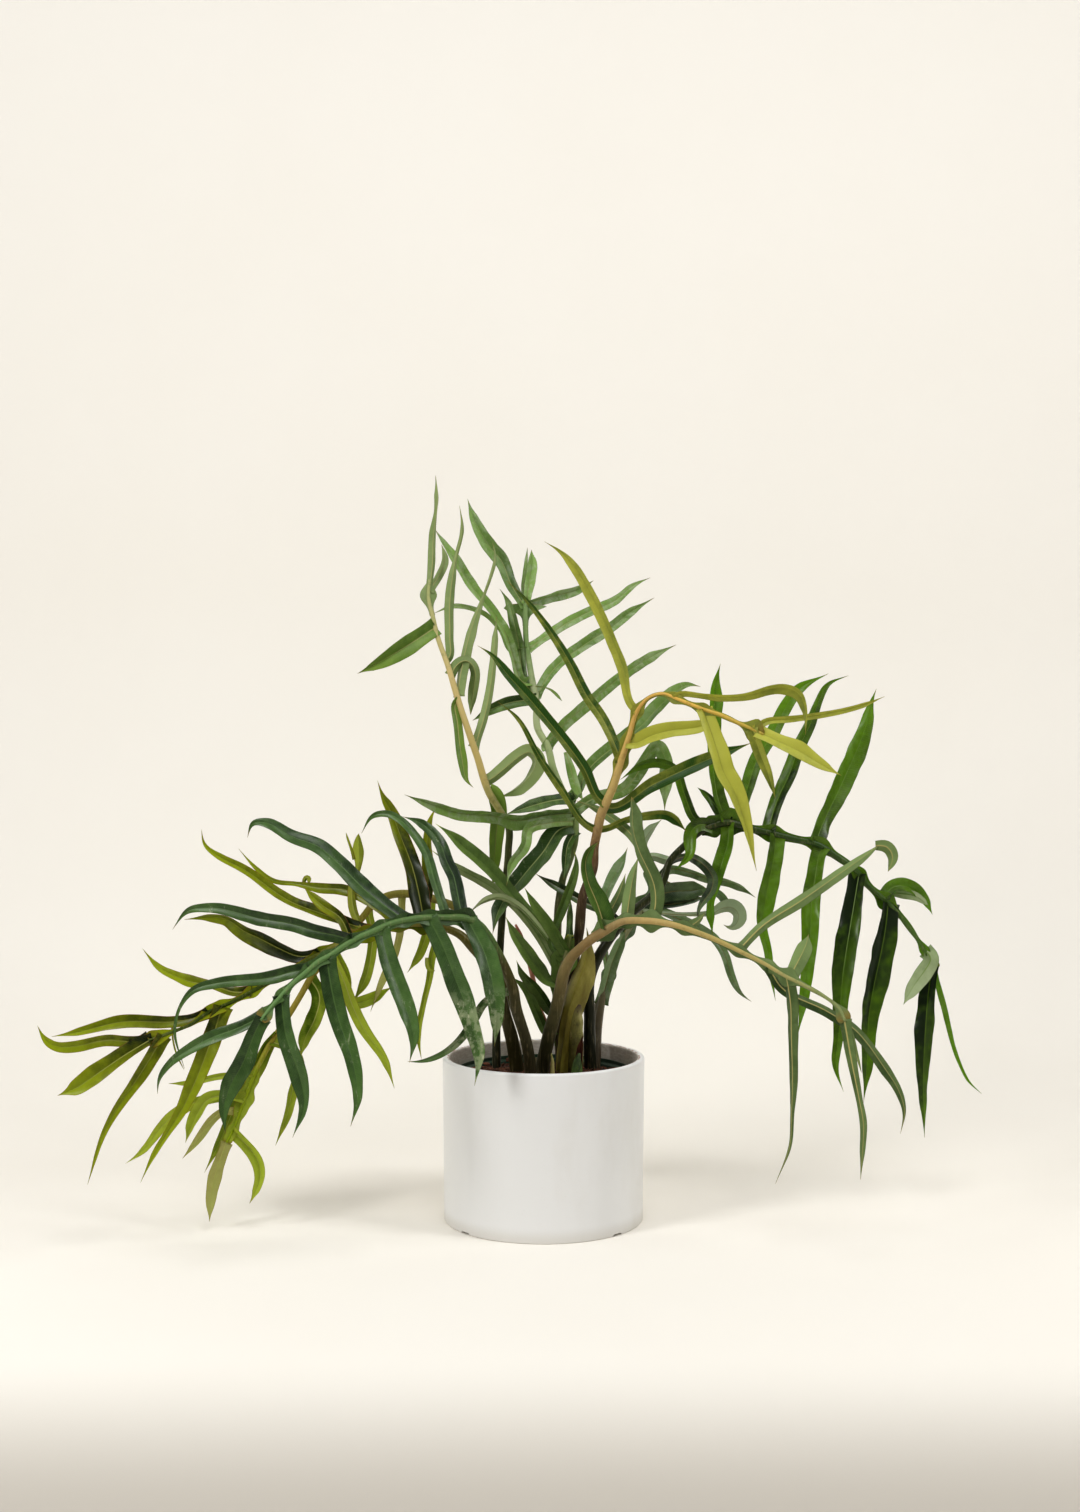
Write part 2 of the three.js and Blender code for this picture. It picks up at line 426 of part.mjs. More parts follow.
// The point of the stalk nearest to a front view point, as [across, up, depth]
function nearestOnStalk(stalk, across, up) {
  let best = null;
  let least = Infinity;
  for (let i = 0; i < stalk.length - 1; i += 1) {
    const from = new THREE.Vector3(...stalk[i].slice(0, 3));
    const to = new THREE.Vector3(...stalk[i + 1].slice(0, 3));
    const run = new THREE.Vector2(to.x - from.x, to.y - from.y);
    const t = ((across - from.x) * run.x + (up - from.y) * run.y) / run.lengthSq();
    const point = from.lerp(to, THREE.MathUtils.clamp(t, 0, 1));
    const distance = Math.hypot(across - point.x, up - point.y);
    if (distance < least) {
      least = distance;
      best = point;
    }
  }
  return best;
}

// One lobe of a blade: a thin strip of diamond section from the midrib to its pointed tip.
// A rolled lobe is wider by as much as its front view is foreshortened.
function lobeSolid(stalk, [reach, ...outline], roll) {
  const [baseAcross, baseUp, baseWidth] = outline[0];
  const base = nearestOnStalk(stalk, baseAcross, baseUp);
  const drawn = [[base.x, base.y, baseWidth], ...outline];
  if (Math.hypot(base.x - baseAcross, base.y - baseUp) < 1) drawn.splice(1, 1);
  const run = [0];
  for (let i = 1; i < drawn.length; i += 1) {
    run.push(run[i - 1] + Math.hypot(drawn[i][0] - drawn[i - 1][0], drawn[i][1] - drawn[i - 1][1]));
  }
  const length = run[run.length - 1];
  const depths = run.map((distance) => base.z + reach * (distance / length));
  const points = drawn.map(([across, up], i) => place(across, up, depths[i]));
  const along = directions(points);
  const rings = points.map((point, i) => {
    const facing = new THREE.Vector3().crossVectors(along[i], new THREE.Vector3(0, 1, 0)).normalize();
    const side = facing.applyAxisAngle(along[i], roll);
    const front = new THREE.Vector3().crossVectors(along[i], side);
    const halfWidth = (drawn[i][2] / 2) * (scaleAt(depths[i]) / Math.cos(roll));
    const thickness = THREE.MathUtils.lerp(LOBE_THICKNESS, LOBE_TIP_THICKNESS, run[i] / length);
    return [
      point.clone().addScaledVector(side, halfWidth),
      point.clone().addScaledVector(front, thickness / 2),
      point.clone().addScaledVector(side, -halfWidth),
      point.clone().addScaledVector(front, -thickness / 2),
    ];
  });
  return solidOf(loft(rings));
}

// Lobes are rolled to either side of face on, one after another
function rollOf(lobeIndex, leafIndex) {
  return LOBE_ROLL * Math.sin(2.4 * lobeIndex + 1.3 * leafIndex);
}

function leafSolid({ stalk, lobes }, leafIndex) {
  const joined = lobes.reduce(
    (leaf, lobe, i) => leaf.add(lobeSolid(stalk, lobe, rollOf(i, leafIndex))),
    stalkSolid(stalk),
  );
  return joined.simplify(LEAST_EDGE);
}

// Round holes drilled down through a floor, evenly spaced on a circle
function drilled(solid, holeRadius, circle, count, floor) {
  let rest = solid;
  for (let i = 0; i < count; i += 1) {
    const hole = new THREE.CylinderGeometry(holeRadius, holeRadius, 40, 12)
      .rotateX(Math.PI / 2)
      .translate(circle, 0, floor)
      .rotateZ((2 * Math.PI * i) / count);
    rest = rest.subtract(solidOf(hole));
  }
  return rest;
}

// White ceramic planter with a rounded rim. It stands on a foot ring with four notches and on a
// flat round foot in the middle, with drain holes between them.
function planter() {
  const inner = POT_RIM_RADIUS - POT_WALL;
  const footInner = POT_FOOT_RADIUS - POT_FOOT_WIDTH;
  const profile = [
    [0, 0], [POT_CENTRE_FOOT_RADIUS, 0], [POT_CENTRE_FOOT_RADIUS + 2, POT_FOOT_RECESS],
    [footInner - 2, POT_FOOT_RECESS], [footInner, 0], [POT_FOOT_RADIUS - 1.5, 0],
    [POT_FOOT_RADIUS, 1.5], [POT_RIM_RADIUS, POT_HEIGHT - 4], [POT_RIM_RADIUS - 1, POT_HEIGHT - 1.2],
    [POT_RIM_RADIUS - POT_WALL / 2, POT_HEIGHT], [inner + 1, POT_HEIGHT - 1.2],
    [inner, POT_HEIGHT - 4], [inner - 1.5, POT_FLOOR + 5], [inner - 6, POT_FLOOR], [0, POT_FLOOR],
  ];
  const body = drilled(solidOf(turned(profile)), POT_DRAIN_RADIUS, POT_DRAIN_CIRCLE, POT_DRAINS, POT_FLOOR);
  return NOTCH_ANGLES.reduce((pot, degrees) => {
    const notch = new THREE.BoxGeometry(NOTCH_WIDTH, 30, 2 * NOTCH_HEIGHT)
      .translate(0, -POT_FOOT_RADIUS + 6, 0)
      .rotateZ(THREE.MathUtils.degToRad(degrees));
    return pot.subtract(solidOf(notch));
  }, body);
}

// Thin tapering plastic pot with a turned out lip and holes in its floor
function nurseryPot() {
  const floor = POT_FLOOR + GAP;
  const lipBase = NURSERY_TOP - NURSERY_LIP_HEIGHT;
  const profile = [
    [NURSERY_HOLE_RADIUS, floor], [NURSERY_BASE_RADIUS - 2, floor], [NURSERY_BASE_RADIUS, floor + 2],
    [NURSERY_TOP_RADIUS, lipBase], [NURSERY_TOP_RADIUS + NURSERY_LIP, lipBase + 1],
    [NURSERY_TOP_RADIUS + NURSERY_LIP, NURSERY_TOP],
    [NURSERY_TOP_RADIUS + NURSERY_LIP - NURSERY_WALL, NURSERY_TOP],
    [NURSERY_TOP_RADIUS + NURSERY_LIP - NURSERY_WALL, lipBase + 2.3],
    [NURSERY_TOP_RADIUS - NURSERY_WALL, lipBase + 1],
    [NURSERY_BASE_RADIUS - NURSERY_WALL, floor + 3], [NURSERY_BASE_RADIUS - 3, floor + NURSERY_WALL],
    [NURSERY_HOLE_RADIUS, floor + NURSERY_WALL], [NURSERY_HOLE_RADIUS, floor],
  ];
  const pot = solidOf(turned(profile));
  return drilled(pot, NURSERY_HOLE_RADIUS, NURSERY_HOLE_CIRCLE, NURSERY_HOLES, floor);
}

// Height of the mix: a low mound with small hollows
function mixHeight(x, y) {
  const edge = Math.min(Math.hypot(x, y) / NURSERY_TOP_RADIUS, 1);
  const mound = THREE.MathUtils.lerp(MIX_CROWN_HEIGHT, MIX_EDGE_HEIGHT, edge * edge);
  return mound + 0.8 * (1 - edge) * Math.sin(x / 9) * Math.cos(y / 7);
}

// Bark and peat that fills the nursery pot, with a socket round each piece that grows out of it
function pottingMix(rooted) {
  const floor = POT_FLOOR + 2 * GAP + NURSERY_WALL;
  const lipBase = NURSERY_TOP - NURSERY_LIP_HEIGHT;
  const inside = (height) => {
    const share = (height - floor - 3) / (lipBase + 1 - floor - 3);
    const radius = THREE.MathUtils.lerp(NURSERY_BASE_RADIUS, NURSERY_TOP_RADIUS, share);
    return radius - NURSERY_WALL - GAP;
  };
  const rings = [0.8, 0.55, 0.3];
  const profile = [
    [0, floor], [NURSERY_BASE_RADIUS - 4, floor], [inside(floor + 3.5), floor + 3.5],
    [inside(MIX_EDGE_HEIGHT), MIX_EDGE_HEIGHT],
    ...rings.map((share) => [share * NURSERY_TOP_RADIUS, MIX_EDGE_HEIGHT + 1]), [0, MIX_EDGE_HEIGHT + 1],
  ];
  const geometry = turned(profile);
  const position = geometry.attributes.position;
  for (let i = 0; i < position.count; i += 1) {
    if (position.getZ(i) > MIX_EDGE_HEIGHT + 0.5) {
      position.setZ(i, mixHeight(position.getX(i), position.getY(i)));
    }
  }
  return rooted.reduce(
    (mix, stalk) => mix.subtract(stalkSolid(stalk.slice(0, 3), GAP)),
    solidOf(geometry),
  );
}

// A flat chip of bark lying on the mix
function barkChip([x, y, length, turn], seed) {
  const geometry = new THREE.IcosahedronGeometry(0.5, 0);
  const position = geometry.attributes.position;
  for (let i = 0; i < position.count; i += 1) {
    const grain = 1 + 0.18 * Math.sin(7 * position.getX(i) + 5 * position.getY(i) + seed);
    position.setXYZ(i, position.getX(i) * grain, position.getY(i) * grain, position.getZ(i));
  }
  const thickness = length * CHIP_THICKNESS;
  geometry.scale(length, length * CHIP_WIDTH, thickness);
  geometry.rotateZ(THREE.MathUtils.degToRad(turn));
  geometry.computeBoundingBox();
  const reach = length * CHIP_BEARING;
  const under = [[0, 0], [reach, 0], [-reach, 0], [0, reach], [0, -reach]];
  const ground = Math.max(...under.map(([dx, dy]) => mixHeight(x + dx, y + dy)));
  const rest = ground + GAP - geometry.boundingBox.min.z;
  return solidOf(geometry.translate(x, y, rest));
}

function material(colour, roughness) {
  return new THREE.MeshStandardMaterial({ color: colour, roughness, metalness: 0 });
}

const LEAF_LOOKS = {
  leaf_upper_left: material(0x5f8246, 0.45),
  leaf_back_center: material(0x466e46, 0.4),
  leaf_center: material(0xaab43c, 0.5),
  leaf_right: material(0x285014, 0.35),
  leaf_front_right: material(0x6e7d6a, 0.55),
  leaf_front_left: material(0x325a3c, 0.5),
  leaf_left: material(0x5a6e14, 0.45),
  leaf_left_low: material(0xa0b43c, 0.5),
  leaf_inner_front: material(0x4b6432, 0.5),
  leaf_right_back: material(0x50694b, 0.45),
};
const CROWN_LOOKS = {
  main_stem: material(0x4b4128, 0.8),
  old_stump: material(0x8c9150, 0.7),
  cataphyll_yellow: material(0x968732, 0.6),
  cataphyll_brown_left: material(0x78412d, 0.8),
  cataphyll_brown_right: material(0x78412d, 0.8),
  new_spear: material(0xb4aa64, 0.5),
  side_sprout: material(0x5a7837, 0.6),
  dry_petiole: material(0xb98269, 0.8),
};

const group = new THREE.Group();

function add(name, solid, look) {
  const mesh = new THREE.Mesh(geometryOf(solid), look);
  mesh.name = name;
  group.add(mesh);
}

add('outer_pot', planter(), material(0xececea, 0.35));
add('nursery_pot', nurseryPot(), material(0x1e3c28, 0.5));
const rooted = [...Object.values(LEAVES).map((leaf) => leaf.stalk), ...Object.values(CROWN)];
add('potting_mix', pottingMix(rooted), material(0x4b2d1e, 0.95));
for (const [name, stalk] of Object.entries(CROWN)) add(name, stalkSolid(stalk), CROWN_LOOKS[name]);
Object.entries(LEAVES).forEach(([name, leaf], i) => add(name, leafSolid(leaf, i), LEAF_LOOKS[name]));
CHIPS.forEach((chip, i) => add(`bark_chip_${i + 1}`, barkChip(chip, i), material(0x5f3723, 0.95)));

export default group;
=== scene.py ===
"""Potted fern-leaf philodendron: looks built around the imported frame, in metres."""
import math
import bmesh
import bpy
import numpy as np
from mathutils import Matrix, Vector, noise


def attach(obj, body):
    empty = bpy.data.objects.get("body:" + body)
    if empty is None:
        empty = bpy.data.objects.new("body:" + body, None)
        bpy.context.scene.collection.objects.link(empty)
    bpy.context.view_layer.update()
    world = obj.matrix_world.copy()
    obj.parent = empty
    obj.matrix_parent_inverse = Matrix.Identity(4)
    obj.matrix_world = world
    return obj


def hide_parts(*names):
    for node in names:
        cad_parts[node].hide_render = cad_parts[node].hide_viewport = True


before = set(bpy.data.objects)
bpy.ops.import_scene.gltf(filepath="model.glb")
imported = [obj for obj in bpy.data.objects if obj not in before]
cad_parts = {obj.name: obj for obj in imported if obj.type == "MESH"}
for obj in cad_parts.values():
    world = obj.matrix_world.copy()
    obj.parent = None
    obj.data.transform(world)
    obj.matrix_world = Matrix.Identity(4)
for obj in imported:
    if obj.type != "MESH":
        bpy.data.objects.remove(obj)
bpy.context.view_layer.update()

# Planter: slip-cast stoneware, satin white glaze outside and over the rim, bare pale clay inside.
# It stands on an unglazed foot ring with four small notches.
MM = 0.001
TURN_STEPS = 176
BEND_STEPS = 5
MOST_BEND = 0.48
CREASE_ANGLE = 32.0
DRILL_SIDES = 28
DRILL_LENGTH = 40 * MM
PLANTER_HEIGHT = 0.161
PLANTER_RIM_RADIUS = 0.1008
PLANTER_FOOT_RADIUS = 0.0990
PLANTER_WALL = 0.0068
PLANTER_FLOOR = 0.012
FOOT_WIDTH = 0.011
FOOT_RECESS = 0.003
CENTRE_FOOT_RADIUS = 0.026
DRAIN_RADIUS = 0.006
DRAIN_CIRCLE = 0.056
DRAINS = 3
NOTCH_HEIGHT = 0.0021
NOTCH_HALF_WIDTH = 0.0056
NOTCH_ANGLES = [-140, -44, 44, 136]
NOTCH_FREE = 0.5
NOTCH_EDGE = 0.12
GLAZE_LIT = "#eeeeed"
GLAZE_GREYED = "#d9d5cd"
CLAY = "#e2dcd2"
CLAY_DARK = "#cac2b6"
CLAY_EDGE = "#9a5a40"
GLAZE_PIT = "#a49a8c"
BARE_ABOVE = (0.008, 0.011)
FOOT_BARE_BELOW = (0.0045, 0.0035)
FOOT_BARE_INSIDE = (0.0885, 0.0875)
RUST_ABOVE = (0.1575, 0.1592)
GREYED_BELOW = (0.016, 0.001)


def paint(code):
    """A colour written as #rrggbb, in the linear values that shaders use."""
    parts = [int(code[i:i + 2], 16) / 255 for i in (1, 3, 5)]
    linear = [p / 12.92 if p <= 0.04045 else ((p + 0.055) / 1.055) ** 2.4 for p in parts]
    return (*linear, 1.0)


class Term:
    """A shader socket that can stand in sums, products and comparisons."""

    def __init__(self, look, socket):
        self.look = look
        self.socket = socket

    def math(self, operation, *others):
        return self.look.node("ShaderNodeMath", {"operation": operation}, dict(enumerate((self, *others))))

    def __add__(self, other):
        return self.math("ADD", other)

    def __sub__(self, other):
        return self.math("SUBTRACT", other)

    def __mul__(self, other):
        return self.math("MULTIPLY", other)

    def __truediv__(self, other):
        return self.math("DIVIDE", other)

    def __rsub__(self, other):
        return self.look.node("ShaderNodeMath", {"operation": "SUBTRACT"}, {0: other, 1: self})

    __radd__ = __add__
    __rmul__ = __mul__

    def __abs__(self):
        return self.math("ABSOLUTE")

    def clamp(self):
        return self.look.node("ShaderNodeClamp", {}, {0: self})

    def step(self, low, high):
        """0 below low and 1 above high, smooth between; the other way round if low is above high."""
        if low < high:
            ends = {"From Min": low, "From Max": high, "To Min": 0.0, "To Max": 1.0}
        else:
            ends = {"From Min": high, "From Max": low, "To Min": 1.0, "To Max": 0.0}
        settings = {"interpolation_type": "SMOOTHSTEP"}
        return self.look.node("ShaderNodeMapRange", settings, {"Value": self, **ends})


class Look:
    """A procedural material under construction."""

    def __init__(self, name):
        self.material = bpy.data.materials.new(name)
        self.material.use_nodes = True
        self.tree = self.material.node_tree
        self.tree.nodes.clear()

    def node(self, kind, settings, inputs, output=0):
        made = self.tree.nodes.new(kind)
        for key, value in settings.items():
            if key == "stops":
                ramp = made.color_ramp
                while len(ramp.elements) < len(value):
                    ramp.elements.new(0.5)
                for element, (place, colour) in zip(ramp.elements, value):
                    element.position = place
                    element.color = colour
            else:
                setattr(made, key, value)
        for key, value in inputs.items():
            if isinstance(value, Term):
                self.tree.links.new(value.socket, made.inputs[key])
            else:
                made.inputs[key].default_value = value
        return Term(self, made.outputs[output])

    def mix(self, share, first, second):
        settings = {"data_type": "RGBA", "clamp_factor": True}
        return self.node("ShaderNodeMix", settings, {0: share, 6: first, 7: second}, 2)

    def place(self):
        return self.node("ShaderNodeTexCoord", {}, {}, 3)

    def stretched(self, vector, scale):
        return self.node("ShaderNodeMapping", {}, {"Vector": vector, "Scale": scale})

    def noise(self, vector, scale, detail=3.0, roughness=0.55, distortion=0.0):
        values = {"Vector": vector, "Scale": scale, "Detail": detail, "Roughness": roughness,
                  "Distortion": distortion}
        return self.node("ShaderNodeTexNoise", {}, values)

    def parts(self, vector):
        """The three numbers of a vector."""
        split = self.node("ShaderNodeSeparateXYZ", {}, {0: vector})
        return [Term(self, output) for output in split.socket.node.outputs]

    def attribute(self, name):
        return self.node("ShaderNodeAttribute", {"attribute_name": name}, {}, 1)

    def bump(self, height, distance, strength=1.0):
        return self.node("ShaderNodeBump", {}, {"Height": height, "Distance": distance,
                                                "Strength": strength})

    def finish(self, inputs, glow=None, one_way=False):
        """Ends the material in a Principled BSDF; glow is (share, colour) of light let through.
        A one-way surface is clear when seen from behind."""
        surface = self.node("ShaderNodeBsdfPrincipled", {}, inputs)
        if glow:
            through = self.node("ShaderNodeBsdfTranslucent", {}, {"Color": glow[1]})
            surface = self.node("ShaderNodeMixShader", {}, {0: glow[0], 1: surface, 2: through})
        if one_way:
            behind = self.node("ShaderNodeNewGeometry", {}, {}, "Backfacing")
            clear = self.node("ShaderNodeBsdfTransparent", {}, {})
            surface = self.node("ShaderNodeMixShader", {}, {0: behind, 1: surface, 2: clear})
        end = self.tree.nodes.new("ShaderNodeOutputMaterial")
        self.tree.links.new(surface.socket, end.inputs["Surface"])
        return self.material


def rounded(corners):
    """A closed profile of (radius, height, corner radius) with its corners rounded."""
    outline = []
    count = len(corners)
    for i, (x, y, bend) in enumerate(corners):
        here = Vector((x, y))
        before = (Vector(corners[i - 1][:2]) - here)
        after = (Vector(corners[(i + 1) % count][:2]) - here)
        cut = min(bend, before.length * MOST_BEND, after.length * MOST_BEND)
        if cut <= 0:
            outline.append((x, y))
            continue
        start = here + before.normalized() * cut
        stop = here + after.normalized() * cut
        for k in range(BEND_STEPS + 1):
            t = k / BEND_STEPS
            point = start * (1 - t) ** 2 + here * 2 * t * (1 - t) + stop * t * t
            outline.append((point.x, point.y))
    return outline


def new_object(name, mesh):
    piece = bpy.data.objects.new(name, mesh)
    bpy.context.scene.collection.objects.link(piece)
    return piece


def mesh_from(name, points, faces):
    mesh = bpy.data.meshes.new(name)
    mesh.from_pydata([tuple(p) for p in points], [], faces)
    mesh.polygons.foreach_set("use_smooth", [True] * len(mesh.polygons))
    return mesh


def facing_out(mesh):
    """Turns the faces of a closed mesh outwards."""
    shell = bmesh.new()
    shell.from_mesh(mesh)
    bmesh.ops.recalc_face_normals(shell, faces=shell.faces)
    shell.to_mesh(mesh)
    shell.free()
    return mesh


def turned(name, outline, angles=None, shape=None):
    """A closed profile turned about the upright axis; shape may move each point."""
    angles = angles or [360 * i / TURN_STEPS for i in range(TURN_STEPS)]
    points = []
    faces = []
    count = len(outline)
    for angle in angles:
        turn = math.radians(angle)
        for radius, height in outline:
            point = Vector((radius * math.cos(turn), radius * math.sin(turn), height))
            points.append(shape(point, angle) if shape else point)
    for i in range(len(angles)):
        here = i * count
        there = (i + 1) % len(angles) * count
        for k in range(count):
            after = (k + 1) % count
            faces.append((here + k, there + k, there + after, here + after))
    body = bmesh.new()
    body.from_mesh(mesh_from(name, points, faces))
    bmesh.ops.remove_doubles(body, verts=body.verts, dist=0.5e-6)
    bmesh.ops.recalc_face_normals(body, faces=body.faces)
    mesh = bpy.data.meshes.new(name)
    body.to_mesh(mesh)
    body.free()
    mesh.set_sharp_from_angle(angle=math.radians(CREASE_ANGLE))
    return mesh


def made_plain(piece):
    """Turns a piece with modifiers into one plain mesh."""
    seen = piece.evaluated_get(bpy.context.evaluated_depsgraph_get())
    plain = bpy.data.meshes.new_from_object(seen)
    piece.modifiers.clear()
    piece.data = plain
    return piece


def drilled(piece, radius, circle, count, floor):
    """Round drain holes through a pot's floor."""
    drills = bmesh.new()
    for i in range(count):
        angle = 2 * math.pi * i / count
        hole = bmesh.ops.create_cone(drills, cap_ends=True, segments=DRILL_SIDES, radius1=radius,
                                     radius2=radius, depth=DRILL_LENGTH)
        centre = Vector((circle * math.cos(angle), circle * math.sin(angle), floor))
        bmesh.ops.translate(drills, verts=hole["verts"], vec=centre)
    drill_mesh = bpy.data.meshes.new("drain_drill")
    drills.to_mesh(drill_mesh)
    drills.free()
    drill = new_object("drain_drill", drill_mesh)
    cut = piece.modifiers.new("drain holes", "BOOLEAN")
    cut.operation = "DIFFERENCE"
    cut.solver = "EXACT"
    cut.object = drill
    bpy.context.view_layer.update()
    made_plain(piece)
    bpy.data.objects.remove(drill)
    piece.data.materials.clear()
    return piece


def notch_angles():
    """Turning angles with a close pair at each side of every notch."""
    angles = [360 * i / TURN_STEPS - 180 for i in range(TURN_STEPS)]
    side = math.degrees(NOTCH_HALF_WIDTH / PLANTER_FOOT_RADIUS)
    for notch in NOTCH_ANGLES:
        angles = [angle for angle in angles
                  if min(abs(angle - notch - side), abs(angle - notch + side)) > NOTCH_FREE]
        angles += [notch + way * (side + gap) for way in (-1, 1) for gap in (-NOTCH_EDGE, NOTCH_EDGE)]
    return sorted(angles)


def with_notches(point, angle):
    """Lifts the foot ring's underside where a notch is."""
    side = math.degrees(NOTCH_HALF_WIDTH / PLANTER_FOOT_RADIUS)
    on_ring = math.hypot(point.x, point.y) > PLANTER_FOOT_RADIUS - FOOT_WIDTH - 1 * MM
    if on_ring and point.z < NOTCH_HEIGHT and any(abs(angle - notch) < side for notch in NOTCH_ANGLES):
        point.z = NOTCH_HEIGHT
    return point


inner = PLANTER_RIM_RADIUS - PLANTER_WALL
planter_outline = rounded([
    (PLANTER_FOOT_RADIUS - FOOT_WIDTH, 0, 0.8 * MM), (PLANTER_FOOT_RADIUS, 0, 1.1 * MM),
    (PLANTER_FOOT_RADIUS, NOTCH_HEIGHT + 0.3 * MM, 0), (PLANTER_FOOT_RADIUS + 0.2 * MM, 0.04, 0),
    (PLANTER_RIM_RADIUS - 0.5 * MM, 0.12, 0), (PLANTER_RIM_RADIUS, PLANTER_HEIGHT, 2.2 * MM),
    (inner, PLANTER_HEIGHT, 2.6 * MM), (inner - 0.5 * MM, 0.145, 0), (inner - 0.8 * MM, 0.09, 0),
    (inner - 1.5 * MM, PLANTER_FLOOR, 7 * MM), (0, PLANTER_FLOOR, 0), (0, 0, 0),
    (CENTRE_FOOT_RADIUS, 0, 0.8 * MM), (CENTRE_FOOT_RADIUS + 0.8 * MM, FOOT_RECESS, 1 * MM),
    (PLANTER_FOOT_RADIUS - FOOT_WIDTH - 2 * MM, FOOT_RECESS, 1.5 * MM),
])


def glazed_stoneware():
    look = Look("satin_white_glaze")
    place = look.place()
    x, y, z = look.parts(place)
    radius = (x * x + y * y).math("SQRT")
    ripple = look.noise(place, 34.0, 2.0)
    cloud = look.noise(look.stretched(place, (1, 1, 0.35)), 14.0, 4.0, 0.6)
    speck = look.noise(place, 900.0, 2.0, 0.7)
    pits = speck.step(0.70, 0.76)
    edge = look.noise(place, 70.0, 3.0)
    inside = (inner + 0.9 * MM + (edge - 0.5) * 1.6 * MM - radius).step(-0.25 * MM, 0.25 * MM)
    inside = inside * z.step(*BARE_ABOVE)
    under = (z * -1 + 0.4 * MM).step(-0.3 * MM, 0.3 * MM)
    bare = (inside + under + z.step(*FOOT_BARE_BELOW) * radius.step(*FOOT_BARE_INSIDE)).clamp()
    rust = (inner + 2.4 * MM + (edge - 0.5) * 2.4 * MM - radius).step(-0.5 * MM, 0.5 * MM)
    rust = (rust - inside).clamp() * z.step(*RUST_ABOVE) * look.noise(place, 120.0, 2.0).step(0.42, 0.62)
    # The glaze turns greyer towards the foot and in soft clouds.
    greyed = (z.step(*GREYED_BELOW) * 0.65 + cloud.step(0.52, 0.78) * 0.28).clamp()
    glaze = look.mix(greyed, paint(GLAZE_LIT), paint(GLAZE_GREYED))
    glaze = look.mix(pits * 0.35, glaze, paint(GLAZE_PIT))
    glaze = look.mix(rust * 0.8, glaze, paint(CLAY_EDGE))
    grain = look.noise(look.stretched(place, (1, 1, 3.2)), 160.0, 5.0, 0.65)
    clay = look.mix(grain.step(0.35, 0.7), paint(CLAY_DARK), paint(CLAY))
    colour = look.mix(bare, glaze, clay)
    roughness = (0.36 + cloud * 0.16) * (1 - bare) + bare * 0.92
    height = ripple * 0.35 + grain * bare * 0.5 + speck * 0.03 - pits * 0.12
    normal = look.bump(height, 0.4 * MM, 0.55)
    values = {"Base Color": colour, "Roughness": roughness, "Normal": normal, "Specular IOR Level": 0.45}
    return look.finish(values)


planter_mesh = turned("planter_glazed", planter_outline, notch_angles(), with_notches)
planter = new_object("planter_glazed", planter_mesh)
drilled(planter, DRAIN_RADIUS, DRAIN_CIRCLE, DRAINS, FOOT_RECESS)
planter.data.materials.append(glazed_stoneware())
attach(planter, "root")
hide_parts("outer_pot")

# Nursery pot: thin dark green polypropylene, injection moulded, with a turned-out lip and round
# drain holes in its floor. It stands loose inside the planter.
NURSERY_TOP = 0.147
NURSERY_TOP_RADIUS = 0.085
NURSERY_BASE_RADIUS = 0.068
NURSERY_WALL = 1.3 * MM
NURSERY_LIP = 3.5 * MM
NURSERY_LIP_HEIGHT = 6 * MM
NURSERY_HOLE_RADIUS = 6 * MM
NURSERY_HOLE_CIRCLE = 0.048
NURSERY_HOLES = 6
NURSERY_FLOOR = PLANTER_FLOOR + 0.3 * MM
NURSERY_GREEN = "#24402c"
NURSERY_WORN = "#3d5344"

lip_base = NURSERY_TOP - NURSERY_LIP_HEIGHT
lip_radius = NURSERY_TOP_RADIUS + NURSERY_LIP
nursery_outline = rounded([
    (NURSERY_HOLE_RADIUS, NURSERY_FLOOR, 0), (NURSERY_BASE_RADIUS, NURSERY_FLOOR, 3 * MM),
    (NURSERY_TOP_RADIUS, lip_base, 0.5 * MM), (lip_radius, lip_base + 0.6 * MM, 0.8 * MM),
    (lip_radius, NURSERY_TOP, 0.6 * MM), (lip_radius - NURSERY_WALL, NURSERY_TOP, 0.6 * MM),
    (lip_radius - NURSERY_WALL, lip_base + 2.4 * MM, 0.8 * MM),
    (NURSERY_TOP_RADIUS - NURSERY_WALL, lip_base + 1.2 * MM, 0.8 * MM),
    (NURSERY_BASE_RADIUS - NURSERY_WALL, NURSERY_FLOOR + NURSERY_WALL, 2.5 * MM),
    (NURSERY_HOLE_RADIUS, NURSERY_FLOOR + NURSERY_WALL, 0),
])


def moulded_green_plastic():
    look = Look("nursery_plastic")
    place = look.place()
    grain = look.noise(place, 420.0, 3.0, 0.6)
    cloud = look.noise(place, 26.0, 4.0, 0.6)
    scuff = look.noise(look.stretched(place, (1, 1, 7)), 90.0, 4.0, 0.7).step(0.56, 0.75)
    colour = look.mix(cloud.step(0.35, 0.7) * 0.5 + scuff * 0.4, paint(NURSERY_GREEN), paint(NURSERY_WORN))
    normal = look.bump(grain + scuff * 0.6, 0.2 * MM, 0.5)
    return look.finish({"Base Color": colour, "Roughness": 0.42 + grain * 0.2, "Normal": normal})


nursery = new_object("nursery_pot_moulded", turned("nursery_pot_moulded", nursery_outline))
drilled(nursery, NURSERY_HOLE_RADIUS, NURSERY_HOLE_CIRCLE, NURSERY_HOLES, NURSERY_FLOOR)
nursery.data.materials.append(moulded_green_plastic())
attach(nursery, "root")
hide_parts("nursery_pot")

